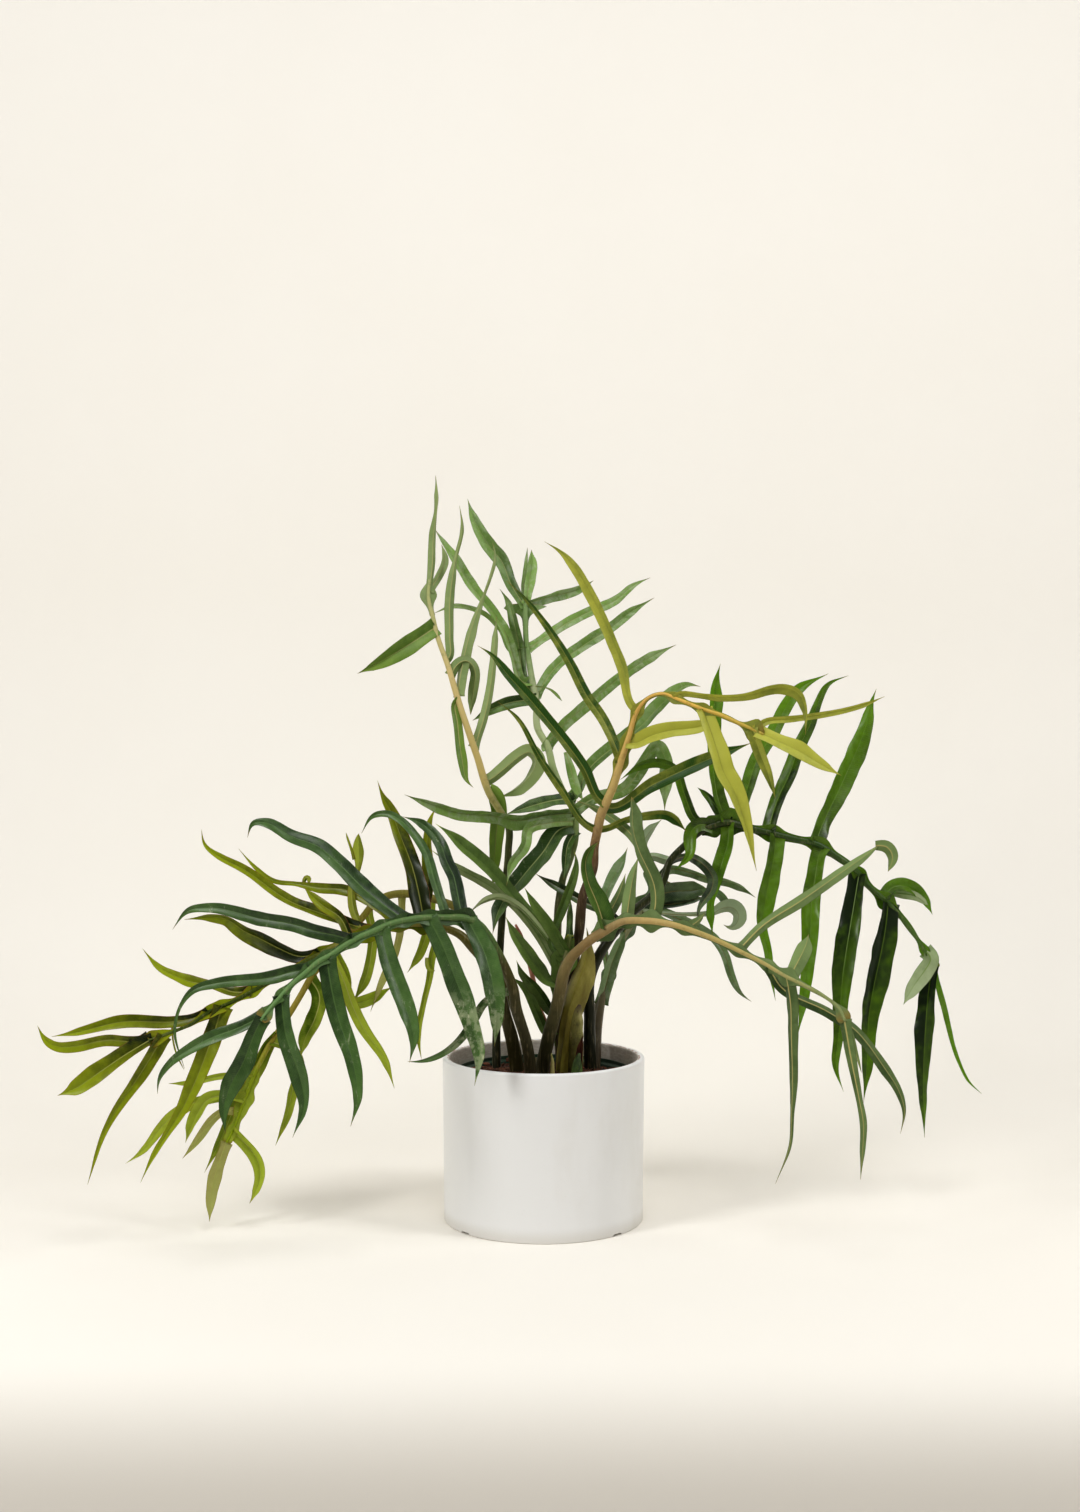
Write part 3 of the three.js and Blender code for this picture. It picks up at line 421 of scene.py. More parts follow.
# Potting mix: loose reddish bark crumbs and peat filled to just under the lip. The crumbs on
# its surface are separate flakes of bark, scattered by a fixed seed.
MIX_EDGE_HEIGHT = 0.140
MIX_CROWN_HEIGHT = 0.147
MIX_RINGS = 46
MIX_TURN = 150
MIX_LUMPS = ((55, 0.3, 1.5), (190, 4.1, 0.9))
MIX_SETTLED = 1.3 * MM
MIX_CLEAR_OF_WALL = 0.985
CRUMB_DENSITY = 52000.0
CRUMB_LEAST = 1.6 * MM
CRUMB_MOST = 6.2 * MM
CRUMB_SEED = 5
CRUMB_SHAPE_SEED = 7
CRUMB_TURN_SEED = 11
CRUMB_ROUGHNESS = 3.2 * MM
FLAKE_LEAST = (0.8, 0.45, 0.22)
FLAKE_MOST = (1.5, 0.9, 0.5)
FLAKE_TILT = 0.6
PEAT_DARK = "#2c1a12"
PEAT_BROWN = "#63402c"
BARK_RED = "#8e5438"
BARK_PALE = "#b8906c"

mix_wall = NURSERY_TOP_RADIUS - NURSERY_WALL - 0.35 * MM


def mix_height(x, y):
    """Height of the mix's surface: a low mound, lumpy at two sizes."""
    edge = min(math.hypot(x, y) / NURSERY_TOP_RADIUS, 1)
    mound = MIX_CROWN_HEIGHT + (MIX_EDGE_HEIGHT - MIX_CROWN_HEIGHT) * edge * edge
    lumps = sum(noise.noise((x * often, y * often, slice_at)) * size for often, slice_at, size in MIX_LUMPS)
    return mound - MIX_SETTLED + lumps * MM


def mix_body():
    """The mix as a closed body inside the nursery pot."""
    floor = NURSERY_FLOOR + NURSERY_WALL + 0.3 * MM
    reach = mix_wall * MIX_CLEAR_OF_WALL
    rings = [(0.4 * MM, floor), (NURSERY_BASE_RADIUS - 5 * MM, floor)]
    rings += [(NURSERY_BASE_RADIUS - 2.3 * MM, floor + 3 * MM), (reach, MIX_EDGE_HEIGHT - 4 * MM)]
    rings += [(reach * (MIX_RINGS - k) / MIX_RINGS, None) for k in range(MIX_RINGS)]
    points = []
    for radius, height in rings:
        for k in range(MIX_TURN):
            angle = 2 * math.pi * k / MIX_TURN
            x, y = radius * math.cos(angle), radius * math.sin(angle)
            points.append((x, y, mix_height(x, y) if height is None else height))
    faces = []
    for i in range(len(rings) - 1):
        for k in range(MIX_TURN):
            after = (k + 1) % MIX_TURN
            low, high = i * MIX_TURN, (i + 1) * MIX_TURN
            faces.append((low + k, low + after, high + after, high + k))
    last = (len(rings) - 1) * MIX_TURN
    points += [(0, 0, floor), (0, 0, mix_height(0, 0))]
    for k in range(MIX_TURN):
        after = (k + 1) % MIX_TURN
        faces.append((after, k, len(points) - 2))
        faces.append((last + k, last + after, len(points) - 1))
    return facing_out(mesh_from("potting_mix_body", points, faces))


def bark_mix(name, red=0.5, pale=0.25):
    """Bark and peat: fibrous brown with reddish and pale broken faces."""
    look = Look(name)
    place = look.place()
    fibre = look.noise(look.stretched(place, (1, 2.6, 3.4)), 260.0, 5.0, 0.7)
    lump = look.noise(place, 95.0, 4.0, 0.65)
    fleck = look.noise(place, 330.0, 3.0, 0.6, 0.6)
    colour = look.mix(lump.step(0.3, 0.68), paint(PEAT_DARK), paint(PEAT_BROWN))
    colour = look.mix(fleck.step(0.5, 0.68) * red, colour, paint(BARK_RED))
    colour = look.mix(fibre.step(0.62, 0.78) * pale, colour, paint(BARK_PALE))
    normal = look.bump(fibre + lump * 0.8, 0.7 * MM, 0.9)
    return look.finish({"Base Color": colour, "Roughness": 0.82 + fibre * 0.15, "Normal": normal})


mix = new_object("potting_mix_surface", mix_body())
mix.data.materials.append(bark_mix("peat_and_bark"))
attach(mix, "root")
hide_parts("potting_mix")


class Tree:
    """A Geometry Nodes tree under construction."""

    def __init__(self, name, inputs):
        self.tree = bpy.data.node_groups.new(name, "GeometryNodeTree")
        self.tree.interface.new_socket("Geometry", in_out="INPUT", socket_type="NodeSocketGeometry")
        for label, kind in inputs.items():
            self.tree.interface.new_socket(label, in_out="INPUT", socket_type=kind)
        self.tree.interface.new_socket("Geometry", in_out="OUTPUT", socket_type="NodeSocketGeometry")
        self.start = self.tree.nodes.new("NodeGroupInput").outputs

    def node(self, kind, settings, inputs, output=0):
        made = self.tree.nodes.new(kind)
        for key, value in settings.items():
            setattr(made, key, value)
        for key, value in inputs.items():
            if isinstance(value, bpy.types.NodeSocket):
                self.tree.links.new(value, made.inputs[key])
            else:
                made.inputs[key].default_value = value
        return made.outputs[output]

    def put_on(self, piece, values, geometry):
        """Ends the tree, puts it on a piece with its inputs set, and makes the piece a plain mesh."""
        end = self.tree.nodes.new("NodeGroupOutput")
        self.tree.links.new(geometry, end.inputs[0])
        modifier = piece.modifiers.new(self.tree.name, "NODES")
        modifier.node_group = self.tree
        for socket in self.tree.interface.items_tree:
            if socket.in_out == "INPUT" and socket.name in values:
                modifier[socket.identifier] = values[socket.name]
        bpy.context.view_layer.update()
        return made_plain(piece)


def crumb_tree():
    """Flakes scattered over the upward faces of the mix, each turned and sized at random."""
    tree = Tree("scattered crumbs", {
        "Density": "NodeSocketFloat", "Least size": "NodeSocketFloat", "Most size": "NodeSocketFloat",
        "Seed": "NodeSocketInt", "Finish": "NodeSocketMaterial",
    })
    start = tree.start
    normal = tree.node("GeometryNodeInputNormal", {}, {})
    up = tree.node("ShaderNodeSeparateXYZ", {}, {0: normal}, 2)
    upward = tree.node("FunctionNodeCompare", {"operation": "GREATER_THAN"}, {0: up, 1: 0.5})
    spots = tree.node("GeometryNodeDistributePointsOnFaces", {}, {
        "Mesh": start["Geometry"], "Selection": upward, "Density": start["Density"], "Seed": start["Seed"]})
    flake = tree.node("GeometryNodeMeshIcoSphere", {}, {"Radius": 0.5, "Subdivisions": 2})
    size = tree.node("FunctionNodeRandomValue", {"data_type": "FLOAT"}, {
        2: start["Least size"], 3: start["Most size"], "Seed": start["Seed"]}, 1)
    shape = tree.node("FunctionNodeRandomValue", {"data_type": "FLOAT_VECTOR"}, {
        0: FLAKE_LEAST, 1: FLAKE_MOST, "Seed": CRUMB_SHAPE_SEED})
    scale = tree.node("ShaderNodeVectorMath", {"operation": "SCALE"}, {0: shape, 3: size})
    turn = tree.node("FunctionNodeRandomValue", {"data_type": "FLOAT_VECTOR"}, {
        0: (-FLAKE_TILT, -FLAKE_TILT, 0.0), 1: (FLAKE_TILT, FLAKE_TILT, 6.28), "Seed": CRUMB_TURN_SEED})
    strewn = tree.node("GeometryNodeInstanceOnPoints", {}, {
        "Points": spots, "Instance": flake, "Rotation": turn, "Scale": scale})
    real = tree.node("GeometryNodeRealizeInstances", {}, {0: strewn})
    where = tree.node("GeometryNodeInputPosition", {}, {})
    rough = tree.node("ShaderNodeTexNoise", {}, {"Vector": where, "Scale": 420.0, "Detail": 2.0}, 1)
    centred = tree.node("ShaderNodeVectorMath", {"operation": "SUBTRACT"}, {0: rough, 1: (0.5, 0.5, 0.5)})
    push = tree.node("ShaderNodeVectorMath", {"operation": "SCALE"}, {0: centred, 3: CRUMB_ROUGHNESS})
    broken = tree.node("GeometryNodeSetPosition", {}, {"Geometry": real, "Offset": push})
    flat = tree.node("GeometryNodeSetShadeSmooth", {}, {"Geometry": broken, "Shade Smooth": False})
    return tree, tree.node("GeometryNodeSetMaterial", {}, {"Geometry": flat, "Material": start["Finish"]})


crumbs = new_object("bark_crumbs", mix.data.copy())
crumb_nodes, scattered = crumb_tree()
crumb_nodes.put_on(crumbs, {
    "Density": CRUMB_DENSITY, "Least size": CRUMB_LEAST, "Most size": CRUMB_MOST, "Seed": CRUMB_SEED,
    "Finish": bark_mix("bark_crumb", red=0.9, pale=0.5),
}, scattered)
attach(crumbs, "root")

# Bark chips: a dozen larger flakes of pine bark lying loose on the mix. Each is broken along its
# layers, so it is rough, ridged along its length and pale on the broken edges.
CHIPS = 12
CHIP_ROUGHNESS = 1.3 * MM
CHIP_CUTS = 5


def bark_chip(number):
    """A flake in the place of the plain chip, with ridges along it and ragged edges."""
    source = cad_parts[f"bark_chip_{number}"]
    shell = bmesh.new()
    shell.from_mesh(source.data)
    bmesh.ops.remove_doubles(shell, verts=shell.verts, dist=1e-6)
    bmesh.ops.subdivide_edges(shell, edges=shell.edges, cuts=CHIP_CUTS, use_grid_fill=True)
    middle = sum((v.co for v in shell.verts), Vector()) / len(shell.verts)
    for vertex in shell.verts:
        out = (vertex.co - middle).normalized()
        spot = vertex.co * 260 + Vector((number * 3.7, 0, 0))
        layers = noise.noise((spot.x * 0.35, spot.y * 0.35, spot.z * 2.6))
        ragged = noise.fractal(spot, 0.9, 2.2, 3)
        vertex.co -= out * CHIP_ROUGHNESS * (0.25 + 0.45 * abs(layers) + 0.35 * abs(ragged))
    mesh = bpy.data.meshes.new(f"bark_flake_{number}")
    shell.to_mesh(mesh)
    shell.free()
    mesh.polygons.foreach_set("use_smooth", [False] * len(mesh.polygons))
    return facing_out(mesh)


chip_look = bark_mix("bark_flake", red=0.8, pale=0.8)
for number in range(1, CHIPS + 1):
    flake = new_object(f"bark_flake_{number}", bark_chip(number))
    flake.data.materials.append(chip_look)
    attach(flake, "root")
    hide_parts(f"bark_chip_{number}")

# Main stem: the short old stem that all the leaves grow from, woody olive brown, ringed with leaf
# scars. Only its top stands out of the mix, between the leaf stalks.
EYE = Vector((-3.5 * MM, -1.8, 0.481))
ROW_STEP = 2.6 * MM
WIDTH_EASE = [0.1, 0.2, 0.4, 0.2, 0.1]
LUMP_TURN = 1.3
STALK_MARK = -1.2


def scale_at(depth):
    """How much larger a piece is at this depth than its front view, so that it looks the same size."""
    return 1 - depth / EYE.y


def spot(across, up, depth):
    """A front-view point, in millimetres, slid along the line of sight to its depth behind the pot's axis."""
    depth *= MM
    scale = scale_at(depth)
    return (EYE.x + (across * MM - EYE.x) * scale, depth, EYE.z + (up * MM - EYE.z) * scale)


def placed(outline):
    """Places and half widths, in metres, of (across, up, depth, width) points."""
    return [(*spot(*p[:3]), p[3] / 2 * MM * scale_at(p[2] * MM)) for p in outline]


def smooth_rows(values, step, ease=0):
    """Rows of numbers, the first three a place, run smoothly through, resampled evenly and eased."""
    rows = np.array(values, float)
    gaps = np.linalg.norm(np.diff(rows[:, :3], axis=0), axis=1)
    run = np.concatenate([[0], np.cumsum(np.maximum(gaps, 1e-6))])
    if len(rows) > 2:
        slope = np.gradient(rows, run, axis=0)
    else:
        slope = np.repeat(np.diff(rows, axis=0) / run[-1], 2, axis=0)
    count = max(int(run[-1] / step), 3)
    t = np.linspace(0, run[-1], count + 1)
    k = np.clip(np.searchsorted(run, t, side="right") - 1, 0, len(rows) - 2)
    span = (run[k + 1] - run[k])[:, None]
    f = ((t - run[k]) / (run[k + 1] - run[k]))[:, None]
    made = (rows[k] * (2 * f**3 - 3 * f**2 + 1) + slope[k] * span * (f**3 - 2 * f**2 + f)
            + rows[k + 1] * (3 * f**2 - 2 * f**3) + slope[k + 1] * span * (f**3 - f**2))
    for column in range(3, rows.shape[1]):
        made[:, column] = np.interp(t, run, rows[:, column])
        padded = np.concatenate([[made[0, column]] * 2, made[:, column], [made[-1, column]] * 2])
        made[:, column] = np.convolve(padded, WIDTH_EASE, "valid")
    for _ in range(ease):
        made[1:-1, :3] = (made[:-2, :3] + 2 * made[1:-1, :3] + made[2:, :3]) / 4
    run = np.concatenate([[0], np.cumsum(np.linalg.norm(np.diff(made[:, :3], axis=0), axis=1))])
    return made, run


def unit(vectors):
    return vectors / np.maximum(np.linalg.norm(vectors, axis=-1, keepdims=True), 1e-9)


def frames_along(places):
    """Sideways and forwards at each row of a path, sideways lying across the line of sight."""
    along = unit(np.gradient(places, axis=0))
    sight = unit(places - np.array(EYE))
    side = unit(np.cross(along, sight))
    for i in range(1, len(side)):
        if side[i] @ side[i - 1] < 0:
            side[i:] *= -1
    for _ in range(3):
        side[1:-1] = (side[:-2] + 2 * side[1:-1] + side[2:]) / 4
    side = unit(side - along * np.sum(side * along, axis=1, keepdims=True))
    return side, np.cross(along, side)


class Shells:
    """Closed lofts gathered into one mesh, with what the material needs to know at each point."""

    def __init__(self):
        self.points = []
        self.faces = []
        self.facts = []
        self.count = 0

    def loft(self, rings, facts):
        """Rings of points, rows x around x 3, closed by a point at each end; facts are rows x around x 6."""
        rows, around, _ = rings.shape
        ends = np.stack([rings[0].mean(axis=0), rings[-1].mean(axis=0)])
        points = np.concatenate([rings.reshape(-1, 3), ends])
        end_facts = np.stack([facts[0].mean(axis=0), facts[-1].mean(axis=0)])
        low = np.arange(rows - 1)[:, None] * around + np.arange(around)[None, :]
        after = np.arange(rows - 1)[:, None] * around + (np.arange(around)[None, :] + 1) % around
        quads = np.stack([low, after, after + around, low + around], axis=-1).reshape(-1, 4)
        turn = (np.arange(around) + 1) % around
        last = (rows - 1) * around
        fans = [(turn[k], k, rows * around) for k in range(around)]
        fans += [(last + k, last + turn[k], rows * around + 1) for k in range(around)]
        faces = [tuple(q) for q in quads.tolist()] + [tuple(int(i) for i in f) for f in fans]
        centre = points.mean(axis=0)
        a, b, c = (points[quads[:, i]] - centre for i in range(3))
        d = points[quads[:, 3]] - centre
        volume = np.sum(np.cross(a, b) * c) + np.sum(np.cross(a, c) * d)
        if volume < 0:
            faces = [tuple(reversed(f)) for f in faces]
        self.faces += [tuple(i + self.count for i in f) for f in faces]
        self.points.append(points)
        self.facts.append(np.concatenate([facts.reshape(-1, 6), end_facts]))
        self.count += len(points)

    def piece(self, name, look, replaced, slot):
        mesh = mesh_from(name, np.concatenate(self.points), self.faces)
        facts = np.concatenate(self.facts).astype(np.float32)
        for label, columns in (("blade", facts[:, :3]), ("growth", facts[:, 3:])):
            layer = mesh.attributes.new(label, "FLOAT_VECTOR", "POINT")
            layer.data.foreach_set("vector", np.ascontiguousarray(columns).ravel())
        mesh.materials.append(look)
        made = new_object(name, mesh)
        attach(made, "root")
        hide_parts(replaced)
        return made

    def stalk(self, outline, sides=14, lumps=0.03, grain=14.0, seed=0):
        """A round stalk along (across, up, depth, thickness) points."""
        rows, run = smooth_rows(placed(outline), ROW_STEP)
        side, front = frames_along(rows[:, :3])
        angle = np.linspace(0, 2 * math.pi, sides, endpoint=False)
        around = [(math.cos(t) * LUMP_TURN + seed, math.sin(t) * LUMP_TURN) for t in angle]
        swell = np.array([[1 + lumps * noise.noise((u, v, s * 1000 / grain)) for u, v in around]
                          for s in run])
        radius = rows[:, 3:4] * swell
        ring = (np.cos(angle)[None, :, None] * side[:, None, :]
                + np.sin(angle)[None, :, None] * front[:, None, :])
        rings = rows[:, None, :3] + radius[:, :, None] * ring
        facts = np.zeros((len(run), sides, 6))
        facts[:, :, 0] = np.sin(angle)[None, :] * rows[:, 3:4]
        facts[:, :, 1] = run[:, None]
        facts[:, :, 2] = rows[:, 3:4]
        facts[:, :, 3] = 0.5
        facts[:, :, 4] = seed % 7 / 7
        facts[:, :, 5] = STALK_MARK + run[:, None] / run[-1]
        self.loft(rings, facts)


STEM_PATH = [(-4, 96, 6, 22), (-4, 128, 6, 22), (-4, 146, 6, 21), (-4, 153, 6, 19), (-3, 157.5, 6, 11)]


def grown_look(name, dark, middle, light, rough=0.7, fibres=1.0, flecks="#c9b58a", fleck_share=0.25,
               streak=26.0, glow=None, ends=None):
    """Stem, sheath and dry stalk: fibres run along it, blotched in three tones, paler flecks."""
    look = Look(name)
    place = look.place()
    kind = look.parts(look.attribute("growth"))[2]
    fibre = look.noise(look.stretched(place, (1, 1, 0.09)), 620.0, 4.0, 0.65)
    cloud = look.noise(look.stretched(place, (1, 1, 0.5)), streak * 2.2, 4.0, 0.6)
    spot_noise = look.noise(place, 230.0, 3.0, 0.7, 0.4)
    colour = look.mix(cloud.step(0.34, 0.56), paint(dark), paint(middle))
    colour = look.mix(cloud.step(0.52, 0.72), colour, paint(light))
    colour = look.mix(fibre.step(0.5, 0.75) * 0.35, colour, paint(light))
    colour = look.mix(spot_noise.step(0.6, 0.7) * fleck_share, colour, paint(flecks))
    if ends:
        top = (kind + kind.step(-0.1, -0.2) * -STALK_MARK).step(ends[1] - 0.12, ends[1] + 0.06)
        colour = look.mix(top * cloud.step(0.25, 0.55), colour, paint(ends[0]))
    normal = look.bump(fibre * fibres + cloud * 0.4 + spot_noise * 0.3, 0.5 * MM, 0.7)
    values = {"Base Color": colour, "Roughness": rough + fibre * 0.15, "Normal": normal}
    return look.finish(values, (glow, paint(light)) if glow else None)


stem = Shells()
stem.stalk(STEM_PATH, sides=40, lumps=0.16, grain=5.0, seed=3)
stem_look = grown_look("stem_bark", "#2e2617", "#5a5230", "#857a4c", 0.75)
stem.piece("main_stem_ringed", stem_look, "main_stem", "old_stem")

# Old stump: the cut base of an earlier leaf, thick and pale green with corky flecks, its top torn
# and dried dark brown.
STUMP_PATH = [(32, 110, 2, 15), (32, 150, 2, 15), (32, 165, 2, 16), (31.5, 180, 1, 16.5),
              (31.5, 196, 1, 15.5), (32, 207, 1, 13.5), (33, 214, 1, 9), (34, 217, 1, 5)]
stump = Shells()
stump.stalk(STUMP_PATH, sides=36, lumps=0.13, grain=9.0, seed=9)
stump_look = grown_look("stump_skin", "#4e4a26", "#8a8646", "#b9b077", 0.55, 0.5, "#4a3320", 0.8, 30.0,
                        ends=("#3c2418", 0.93))
stump.piece("old_stump_mottled", stump_look, "old_stump", "old_stem")

# Yellow sheath: the papery scale that wrapped a young leaf, now a dry open boat of ochre yellow
# around the stalks, its edges curled in and brown.
ACROSS = np.array([-1, -0.95, -0.62, -0.28, -0.075, 0, 0.075, 0.28, 0.62, 0.95, 1])
UNDER = ACROSS[-2:0:-1]
BLADE_THICKNESS = 0.55 * MM
TWIST_FROM = 0.4
TIP_SHARE = 0.16
TIP_BLUNTNESS = 0.75
STOUT = 1.06
LEAST_FACING = 0.58
LEAST_HALF = 0.12 * MM
STRIP_EASE = 6
CURL_POWER = 3.2
GROOVE_WIDTH = 0.06
GROOVE_DEPTH = 0.22
RIB_WIDTH = 0.07
WANDER_GAIN = 1.6
FLARE_RUN = 7 * MM
WEB_RUN = 8 * MM
FLAT_RUN = 10 * MM
THIN_RUN = 25 * MM


def wander(run, length, seed, size):
    """A smooth wandering number along a run, about size at most to either side of nothing."""
    return size * np.array([noise.noise((s / length, seed * 7.31, 0.5)) for s in run]) * WANDER_GAIN


def strip(shells, outline, roll=0.0, twist=0.0, fold=18.0, curl=0.1, wave=0.05, thickness=BLADE_THICKNESS,
          rib=0.5, upper_front=True, tone=0.0, seed=0.0, ragged=0.012, sway=0.0, flare=0.0, joints=(),
          web=0.0):
    """A blade strip along (across, up, depth, width) points: folded along its midrib, waved at its edges,
    flared where it starts and webbed out near joints."""
    rows, run = smooth_rows(placed(outline), ROW_STEP, ease=STRIP_EASE)
    length = run[-1]
    share = run / length
    side, front = frames_along(rows[:, :3])
    turn = np.radians(roll + twist * (share - TWIST_FROM)) + wander(run, 0.06, seed, 0.05)
    point = np.minimum(1, (1 - share) / TIP_SHARE) ** TIP_BLUNTNESS
    facing = np.maximum(np.cos(turn), LEAST_FACING)
    broad = rows[:, 3] * STOUT * point / facing / math.cos(math.radians(fold)) + LEAST_HALF
    broad = broad * (1 + wander(run, 0.012, seed + 1, ragged)) + flare * np.exp(-run / FLARE_RUN)
    for joint in joints:
        away = np.linalg.norm(rows[:, :3] - np.array(joint), axis=1)
        broad = broad + web * np.exp(-(away / WEB_RUN) ** 2)
    cos, sin = np.cos(turn)[:, None], np.sin(turn)[:, None]
    side, front = side * cos + front * sin, front * cos - side * sin
    if (front[len(front) // 2] @ np.array((0, 1, 0)) < 0) != upper_front:
        front = -front
    middle = rows[:, :3] + front * (wander(run, 0.06, seed + 2, sway) * np.sin(share * math.pi))[:, None]
    ease = np.minimum(1, (length - run) / FLAT_RUN)
    angle = np.radians(fold) * (0.55 + 0.45 * ease) + wander(run, 0.04, seed + 3, 0.06)

    def rise(a):
        """How far the blade stands towards its upper side, across its width."""
        valley = np.abs(a)[None, :] * np.sin(angle)[:, None] - (np.abs(a) ** CURL_POWER)[None, :] * curl
        left = wander(run, 0.014, seed + 4, wave)[:, None] * (np.maximum(-a, 0) ** 2)[None, :]
        right = wander(run, 0.016, seed + 5, wave)[:, None] * (np.maximum(a, 0) ** 2)[None, :]
        return broad[:, None] * (valley + left + right)

    def at(a):
        flat = broad[:, None] * a[None, :] * np.cos(angle)[:, None]
        aside = side[:, None, :] * flat[:, :, None]
        return middle[:, None, :] + aside + front[:, None, :] * rise(a)[:, :, None]

    thin = thickness * (0.45 + 0.55 * np.minimum(1, (length - run) / THIN_RUN))
    groove = np.exp(-(ACROSS / GROOVE_WIDTH) ** 2) * GROOVE_DEPTH * rib * MM
    top = at(ACROSS) - front[:, None, :] * groove[None, :, None]
    ridge = np.exp(-(UNDER / RIB_WIDTH) ** 2)[None, :] * (rib * MM * (0.25 + 0.9 * (1 - share)))[:, None]
    drop = thin[:, None] * (1 - np.abs(UNDER) ** 4)[None, :] + ridge
    bottom = at(UNDER) - front[:, None, :] * drop[:, :, None]
    rings = np.concatenate([top, bottom], axis=1)
    spread = np.concatenate([ACROSS, UNDER])
    facts = np.zeros((len(run), len(spread), 6))
    facts[:, :, 0] = spread[None, :] * broad[:, None]
    facts[:, :, 1] = run[:, None]
    facts[:, :, 2] = broad[:, None]
    facts[:, :, 3] = np.concatenate([np.ones(len(ACROSS)), np.zeros(len(UNDER))])[None, :]
    facts[:, (0, len(ACROSS) - 1), 3] = 0.5
    facts[:, :, 4] = tone
    facts[:, :, 5] = share[:, None]
    shells.loft(rings, facts)


YELLOW_SHEATH = [
    (17, 112, -10, 11), (17, 150, -10, 13), (21, 180, -9, 17), (25, 205, -9, 21), (31, 224, -9, 22),
    (38, 243, -10, 20), (43, 260, -11, 13), (45, 274, -11, 7), (43, 289, -12, 2),
]
sheath = Shells()
strip(sheath, YELLOW_SHEATH, roll=-8, fold=52, curl=-0.25, wave=0.12, thickness=0.9 * MM, rib=0.1,
      upper_front=False, seed=31, ragged=0.05)
sheath_look = grown_look("sheath_yellow_skin", "#75691f", "#99903a", "#bdb360", 0.5, 0.7, "#7a4a26", 0.5,
                         20.0, 0.25, ends=("#6f6a2c", 0.9))
sheath.piece("yellow_sheath_boat", sheath_look, "cataphyll_yellow", "sheath_yellow")

# Brown sheaths: two older scales, dried to thin red-brown strips that stand against the stalks.
for number, (side_name, path, lean) in enumerate((
    ("left", [(19, 114, 0, 5), (20, 154, 0, 6), (20, 172, 0, 6.5), (20.5, 188, -1, 5),
              (21, 199, -2, 2.5)], 25),
    ("right", [(37, 112, -12, 5), (37, 148, -12, 7), (38, 162, -12, 6.5), (38.5, 172, -12, 5),
               (39, 181, -12, 2.5)], -30),
)):
    scale = Shells()
    strip(scale, path, roll=lean, fold=35, curl=-0.2, wave=0.2, thickness=0.8 * MM, rib=0.1,
          seed=40 + number, ragged=0.1)
    scale_look = grown_look(f"sheath_brown_skin_{side_name}", "#4a2417", "#85482c", "#ad7045", 0.7, 1.2,
                            "#d0a070", 0.3, 30.0)
    scale.piece(f"brown_sheath_{side_name}_strip", scale_look, f"cataphyll_brown_{side_name}",
                "sheath_brown")

# New growth at the mix: a rolled pale yellow spear, and a side sprout still wrapped in its
# mottled green scale.
spear = Shells()
spear.stalk([(9, 110, -27, 4.5), (9, 140, -27, 4.6), (9, 150, -28, 4), (9, 156, -29, 3.2),
             (8, 160.5, -30, 2), (8, 163, -31, 0.7)], sides=24, lumps=0.05, grain=20.0, seed=2)
spear_look = grown_look("spear_skin", "#9a9650", "#c4bd7c", "#ddd6a4", 0.45, 0.4, "#8a6a3a", 0.3, 30.0)
spear.piece("new_spear_rolled", spear_look, "new_spear", "leaf_young")
sprout = Shells()
sprout.stalk([(33, 112, -27, 12), (33, 138, -27, 12.5), (33.5, 148, -26.5, 11), (34, 155, -26, 8),
              (35, 160, -25.5, 5), (36, 163.5, -25, 1.6)], sides=30, lumps=0.12, grain=12.0, seed=5)
sprout_look = grown_look("sprout_skin", "#35471f", "#5c7a38", "#90a558", 0.5, 0.6, "#6b4a2a", 0.6, 32.0)
sprout.piece("side_sprout_scaled", sprout_look, "side_sprout", "leaf_green")

# Dry petiole: the shrivelled stalk of a dead leaf, salmon brown, ridged along its length.
DRY_PATH = [(5, 114, 22, 5), (5, 150, 22, 5), (3.5, 172, 21.5, 4.6), (2, 192, 21, 5), (-4, 209, 20, 4.4),
            (-9, 230, 18, 5), (-15, 257, 16, 4.6), (-20, 272, 14, 5), (-24, 284, 13, 4.2),
            (-28, 292, 12, 2)]
dry = Shells()
dry.stalk(DRY_PATH, sides=28, lumps=0.22, grain=8.0, seed=11)
dry_look = grown_look("dry_stalk_skin", "#8a5442", "#b9806a", "#d8a98c", 0.75, 1.4, "#5d3425", 0.5)
dry.piece("dry_petiole_ridged", dry_look, "dry_petiole", "dry_stalk")

# The leaves. Each is one growth: a round petiole from the stem, a midrib that carries on from it,
# and narrow strap-like lobes along both sides, joined to the midrib by a narrow web. The lobes are
# leathery, folded a little along their own midribs, with wavy edges and drawn-out tips.
LEAF_FOLD = 27.0
LEAF_ROLL = 30.0
LEAF_TWIST = 34.0
RIB_SHARE = 0.82
BASE_FLARE = 2.4 * MM
WEB = 3.8 * MM
LEAF_CURL = 0.12
LOBE_SWAY = 0.7 * MM
LOBE_DROOP = 0.35
FOLD_VARIETY = 0.35
LOBE_VARIETY = ((2.4, 1.3), (1.7, 1.0), (3.1, 1.0))
FIRST_LOBE_REACH = 12
SEEDS_PER_LEAF = 50
FIRST_FLAP_SEED = 40
LEAST_STEP = 1.5
VEIN_SHARE = 0.14
SCUFF = "#c3c7a4"
STALK_STREAK = "#c9b78c"
STALK_SPECK = "#1d1610"


def nearest_on(stalk, across, up):
    """The point of the stalk, as (across, up, depth), nearest to a front-view point."""
    best, least = None, math.inf
    for a, b in zip(stalk, stalk[1:]):
        start, stop = Vector(a[:3]), Vector(b[:3])
        run = (stop - start).to_2d()
        t = min(max((Vector((across, up)) - start.to_2d()).dot(run) / run.length_squared, 0), 1)
        point = start.lerp(stop, t)
        gap = (Vector((across, up)) - point.to_2d()).length
        if gap < least:
            best, least = point, gap
    return best


